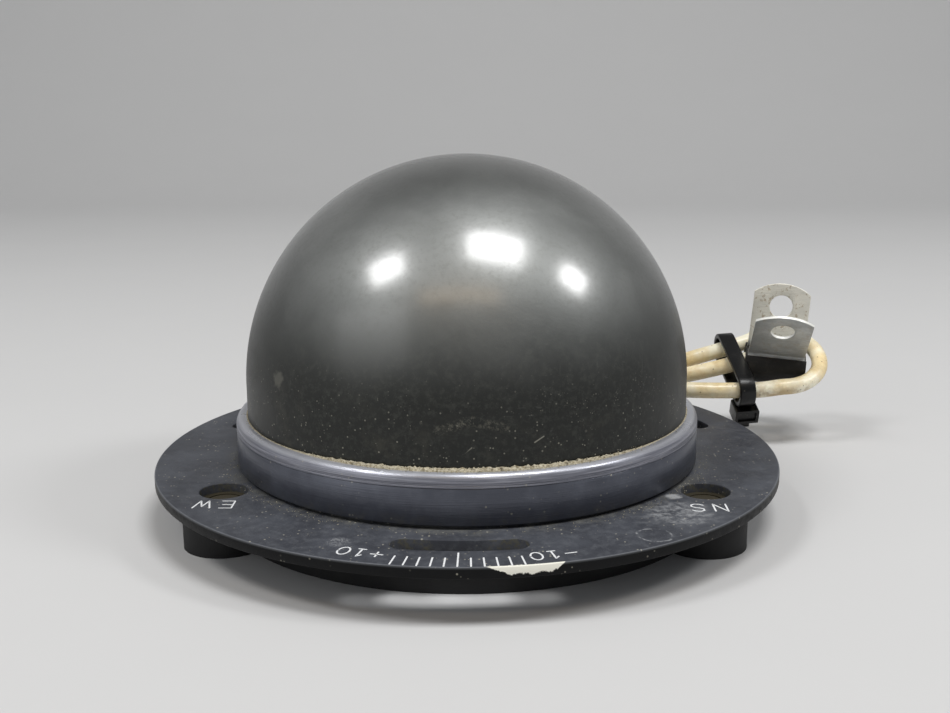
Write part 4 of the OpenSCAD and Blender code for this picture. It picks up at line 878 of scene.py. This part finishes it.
# Painted highlight: the strip's cut edges, marked by cut_edge, are painted near white.
edge_highlight = metal.node("Attribute", {"attribute_name": "cut_edge"}, out=2)
spots = metal.clouds(0.0012, 3, 0.7).between(0.54, 0.64) * (0.35 + 0.65 * lit_back_ear)
tone = metal.layered(
    shade(180, 182, 181), (brushed * 0.5, shade(212, 213, 211)), (dulled * 0.5, shade(148, 148, 145)),
    (lit_back_ear * 0.75, shade(244, 240, 226)), (spots * 0.6, shade(146, 120, 76)),
    (edge_highlight * 0.85, shade(244, 244, 238)))
band_finish = metal.laid(tone, 0.42 + 0.2 * dulled + 0.1 * brushed,
                         metal.relief(brushed, 0.00003, 0.7), 0.75 - 0.35 * dulled - 0.3 * spots)
dressed("clamp_strip", closed(strip), band_finish, ["clamp_band"], smooth=35)

# ---- Cushion: the clamp's black rubber lining. It is a sleeve inside the band, turned over both of
# the band's edges so that it covers the loop up to its ears; the lead's cut end lies in it.
CUSHION_IN, CUSHION_OUT, CUSHION_LIP, CUSHION_HALF = 1.9, 3.35, 4.55, 6.75
half_sleeve = [(CUSHION_OUT, CUSHION_HALF - 0.1), (CUSHION_OUT - 0.1, CUSHION_HALF),
               (CUSHION_IN + 0.2, CUSHION_HALF), (CUSHION_IN, CUSHION_HALF - 0.2)]
sleeve = [(r, -x) for r, x in half_sleeve[::-1]] + half_sleeve
sleeve_mesh = turned([(r * MM, x * MM) for r, x in sleeve], "cushion_sleeve", 72)
sleeve_mesh.transform(Matrix.Rotation(math.radians(90), 4, "Y"))
work = bmesh.new()
work.from_mesh(sleeve_mesh)
EDGE_COVER, BAND_OUT = 0.36, BAND_MID + BAND_THICK / 2 + 0.02
for middle, wide, low in ((EDGE_COVER / 2 - CUSHION_HALF, EDGE_COVER, CUSHION_OUT),
                          (CUSHION_HALF - EDGE_COVER / 2, EDGE_COVER, CUSHION_OUT),
                          (0, 2 * CUSHION_HALF, BAND_OUT)):
    over_line = np.array([(middle, *r) for r in arc_of((0, 0), (low + CUSHION_LIP) / 2, 150, 422, 60)])
    work.from_mesh(swept(over_line * MM, rounded(wide, CUSHION_LIP - low, 0.15), "turned_over",
                         frames=[(1, 0, 0)] * len(over_line)))
work.transform(clamp_place)
work.to_mesh(sleeve_mesh)
work.free()
rubber = Finish("cushion_rubber", Specular_IOR_Level=0.35)
bloom = rubber.clouds(0.002, 4, 0.65).between(0.48, 0.75)
tone = rubber.over(shade(26, 25, 24), bloom * 0.4, shade(70, 67, 62))
cushion_finish = rubber.laid(tone, 0.55 + 0.2 * bloom,
                             rubber.relief(rubber.clouds(0.0005, 3), 0.00008, 0.8))
dressed("clamp_lining", closed(sleeve_mesh), cushion_finish, ["clamp_cushion"],
        smooth=35)

# ---- Inner works and underside: the pieces that the imported model shows as they are. Each has the
# finish of its own stock: turned brass, plated steel, laminations, windings, board, rubber and paint.
# The knobs, the compensator plate and the pan are painted darker as painted shade.


def turned_metal(name, colour, tarnish, rough, metallic=1.0, lines=0.00025):
    """Bright stock with fine machining lines, dulled in patches."""
    stock = Finish(name, Specular_IOR_Level=0.5)
    grain = stock.clouds(lines, 3, 0.6, 0, stock.stretched(1, 1, 0.2)).between(0.35, 0.7)
    patches = stock.clouds(0.004, 4, 0.6).between(0.45, 0.7)
    tone = stock.layered(colour, (grain * 0.25, [c * 0.7 for c in colour[:3]] + [1]),
                         (patches * 0.5, tarnish))
    return stock.laid(tone, rough + 0.12 * patches + 0.06 * grain,
                      stock.relief(grain, 0.00002, 0.5), metallic - patches * 0.2)


def moulded(name, colour, worn, rough, pore=0.0004, depth=0.00004):
    """Plastic, rubber, paint or board: an even body with paler wear and fine pores."""
    body = Finish(name, Specular_IOR_Level=0.4)
    pores = body.clouds(pore, 3, 0.6)
    patches = body.clouds(0.005, 4, 0.6).between(0.45, 0.72)
    tone = body.over(colour, patches * 0.45, worn)
    return body.laid(tone, rough + 0.12 * patches, body.relief(pores, depth, 0.7))


def ridges(finish, along, pitch):
    """0 to 1 and back at every pitch along a line."""
    return finish.node("Math", {"operation": "SINE"}, {0: along * (2 * math.pi / pitch)}) * 0.5 + 0.5


def wound(name, wire, angle, pitch):
    """A winding: enamelled wire in even turns, seen as ridges across the leg that it is wound on."""
    coil = Finish(name, Specular_IOR_Level=0.5)
    if angle is None:
        along = coil.z
    else:
        along = coil.x * math.cos(math.radians(angle)) + coil.y * math.sin(math.radians(angle))
    turns = ridges(coil, along, pitch)
    uneven = coil.clouds(0.003, 3, 0.6).between(0.4, 0.7)
    tone = coil.over(wire, (1 - turns) * 0.7, [c * 0.35 for c in wire[:3]] + [1])
    return coil.laid(coil.over(tone, uneven * 0.3, shade(90, 40, 14)), 0.28 + 0.15 * uneven,
                     coil.relief(turns, 0.00008, 0.9), 0.6 + uneven * 0.1)


def laminated(name):
    """A stack of nickel-iron laminations: grey faces, and fine lines on the cut edges."""
    stack = Finish(name, Specular_IOR_Level=0.5)
    sheets = ridges(stack, stack.z, 0.2 * MM)
    straw = stack.clouds(0.006, 4, 0.6).between(0.42, 0.7)
    tone = stack.layered(shade(150, 148, 142), (straw * 0.45, shade(128, 112, 88)),
                         (sheets.between(0.7, 0.95) * 0.4, shade(70, 68, 64)))
    return stack.laid(tone, 0.38 + 0.15 * straw, stack.relief(sheets, 0.00002, 0.6), 0.85 - 0.1 * straw)


WIRE_PITCH = 0.3 * MM
brass = turned_metal("turned_brass", shade(196, 168, 98), shade(132, 104, 56), 0.28)
# Painted shade: the knobs and the compensator plate are brass painted dark, for the shade inside the
# access holes over them.
knob_brass_shade = turned_metal("knob_brass_painted_shade", shade(72, 66, 52), shade(52, 49, 41), 0.6, 0.4)
plate_brass_painted_shade = turned_metal("plate_brass_painted_shade", shade(66, 60, 45), shade(44, 42, 34), 0.6, 0.4)
steel = turned_metal("plated_steel", shade(176, 178, 180), shade(120, 118, 112), 0.3)
pin_steel = turned_metal("pin_steel", shade(200, 202, 206), shade(150, 150, 150), 0.2)
alloy = turned_metal("cross_alloy", shade(178, 180, 184), shade(140, 140, 140), 0.35)
core = laminated("core_laminations")
magnet = turned_metal("cast_magnet", shade(92, 92, 94), shade(62, 60, 58), 0.5, 0.7, 0.0005)
plastic = moulded("bobbin_moulding", shade(206, 196, 164), shade(172, 156, 118), 0.45)
board = moulded("terminal_board_laminate", shade(112, 70, 38), shade(82, 48, 24), 0.45, 0.0003)
glass = moulded("terminal_glass", shade(58, 92, 84), shade(90, 120, 112), 0.12, 0.002, 0.00001)
seal = moulded("seal_rubber", shade(86, 36, 28), shade(110, 60, 50), 0.6)
fibre = moulded("gasket_fibre", shade(84, 78, 70), shade(112, 104, 92), 0.85, 0.0003, 0.0001)
gland_rubber = moulded("gland_rubber", shade(30, 30, 31), shade(76, 73, 68), 0.55, 0.0006, 0.00006)
# The pan's black paint is painted darker still, as painted shade, so that its lobes under the flange
# read as shadow.
pan_paint = moulded("pan_black_paint_and_shade", shade(24, 24, 25), shade(48, 48, 47), 0.65, 0.0007, 0.00004)
tinned = turned_metal("terminal_plate", shade(206, 186, 120), shade(150, 128, 70), 0.3)

wires = Finish("core_insulation", Specular_IOR_Level=0.4)
spot = (wires.x * way_out[1] - wires.y * way_out[0]) / 0.0045
tone = wires.layered(
    shade(168, 30, 26), (spot.between(-0.8, -0.6), shade(196, 168, 44)),
    (spot.between(-0.3, -0.1), shade(40, 74, 140)), (spot.between(0.1, 0.3), shade(34, 34, 36)),
    (spot.between(0.6, 0.8), shade(214, 212, 204)))
wire_finish = wires.laid(tone, 0.42 + 0.1 * wires.clouds(0.002),
                         wires.relief(wires.clouds(0.0006), 0.00003, 0.5))

finishes = {
    ("suspension_post", "fixed_yoke", "pendulum_yoke", "pendulum_weight", "filler_plug",
     "horn_rivets"): (brass, "brass"),
    ("compensator_plate",): (plate_brass_painted_shade, "brass"),
    ("ns_gear_a", "ns_gear_b", "ew_gear_a", "ew_gear_b"): (brass, "brass"),
    ("ns_knob", "ew_knob"): (knob_brass_shade, "dark_brass"),
    ("post_nut", "pendulum_bolt", "weight_nut", "plate_screws", "pan_screws",
     "horn_spacers"): (steel, "steel"),
    ("gear_studs", "gimbal_pins"): (pin_steel, "pin_steel"),
    ("gimbal_cross",): (alloy, "cross_alloy"),
    ("core_inner", "core_outer", "core_spool"): (core, "core_alloy"),
    ("ns_magnet_a", "ns_magnet_b", "ew_magnet_a", "ew_magnet_b"): (magnet, "magnet"),
    ("exciter_bobbin", "pickup_bobbin_a", "pickup_bobbin_b",
     "pickup_bobbin_c"): (plastic, "bobbin_plastic"),
    ("exciter_coil",): (wound("exciter_winding", shade(176, 92, 42), None, WIRE_PITCH), "copper_wire"),
    ("terminal_board",): (board, "board_laminate"),
    ("terminal_pins",): (tinned, "terminal_plate"),
    ("terminal_seals",): (glass, "seal_glass"),
    ("bowl_seal",): (seal, "seal_rubber"),
    ("pan_gasket",): (fibre, "gasket_fibre"),
    ("cable_gland",): (gland_rubber, "black_rubber"),
    ("compensator_pan",): (pan_paint, "pan_paint"),
    ("cable_cores",): (wire_finish, "core_insulation"),
    ("cable_tail",): (jacket_vinyl, "cable_jacket"),
}
for leg, around in (("a", 90), ("b", 210), ("c", 330)):
    winding = wound("pickup_winding_" + leg, shade(180, 96, 44), around, WIRE_PITCH)
    finishes[("pickup_coil_" + leg,)] = (winding, "copper_wire")
for names, (material, slot_name) in finishes.items():
    for node_name in names:
        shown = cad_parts[node_name]
        shown.data.materials.clear()
        shown.data.materials.append(material)

# ---- Studio: a plain pale floor that runs up to a backdrop, and soft lamps: a large one over the
# dome, two small ones beside it where the dome shows their light, a warm strip in front, and a
# broad dim one low on the left.


def lamp(name, around, above, distance, wide, high, watts, colour=(1, 1, 1)):
    """A soft lamp aimed at the dome, from an angle round it and a height above it in degrees."""
    light = bpy.data.lights.new(name, "AREA")
    light.shape, light.size, light.size_y = "RECTANGLE", wide, high
    light.energy, light.color = watts, colour
    holder = placed(name, light)
    a, e = math.radians(around), math.radians(above)
    back = Vector((math.sin(a) * math.cos(e), -math.cos(a) * math.cos(e), math.sin(e)))
    across = (Vector((1, 0, 0)) - back * back.x).normalized()
    holder.matrix_world = Matrix.Translation(Vector((0, 0, 0.04)) + back * distance) @ Matrix(
        (across, back.cross(across), back)).transposed().to_4x4()


lamp("lamp_over", 48, 73, 0.9, 0.36, 0.25, 4.2)
lamp("lamp_left", -67, 53, 0.9, 0.23, 0.2, 2.3)
lamp("lamp_right", 81, 42, 0.9, 0.17, 0.16, 1.8)
lamp("lamp_low", -50, 22, 0.9, 0.6, 0.5, 1.0)
lamp("lamp_warm", -3, 51, 0.9, 0.6, 0.12, 0.4, (1, 0.72, 0.42))

room = bpy.data.worlds.new("room")
bpy.context.scene.world = room
room.use_nodes = True
air = room.node_tree.nodes["Background"]
air.inputs["Color"].default_value = (0.86, 0.88, 0.9, 1)
air.inputs["Strength"].default_value = 0.27

SWEEP = [(-1.5, 0), (0.55, 0)] + [(0.55 + 0.35 * math.sin(a), 0.35 - 0.35 * math.cos(a))
                                  for a in np.linspace(0.1, math.pi / 2, 16)] + [(0.9, 1.6)]
floor_mesh = bpy.data.meshes.new("floor")
floor_mesh.from_pydata([(x, y, z) for y, z in SWEEP for x in (-2, 2)], [],
                       [(2 * i, 2 * i + 1, 2 * i + 3, 2 * i + 2) for i in range(len(SWEEP) - 1)])
floor_mesh.polygons.foreach_set("use_smooth", [True] * len(floor_mesh.polygons))
floor = placed("floor", floor_mesh)
cloth = Finish("pale_floor", Specular_IOR_Level=0.1)
tone = cloth.over(shade(206, 206, 206), cloth.clouds(0.05, 3) * 0.3, shade(198, 198, 198))
floor_mesh.materials.append(cloth.laid(tone, 0.8 + 0.1 * cloth.clouds(0.02)))
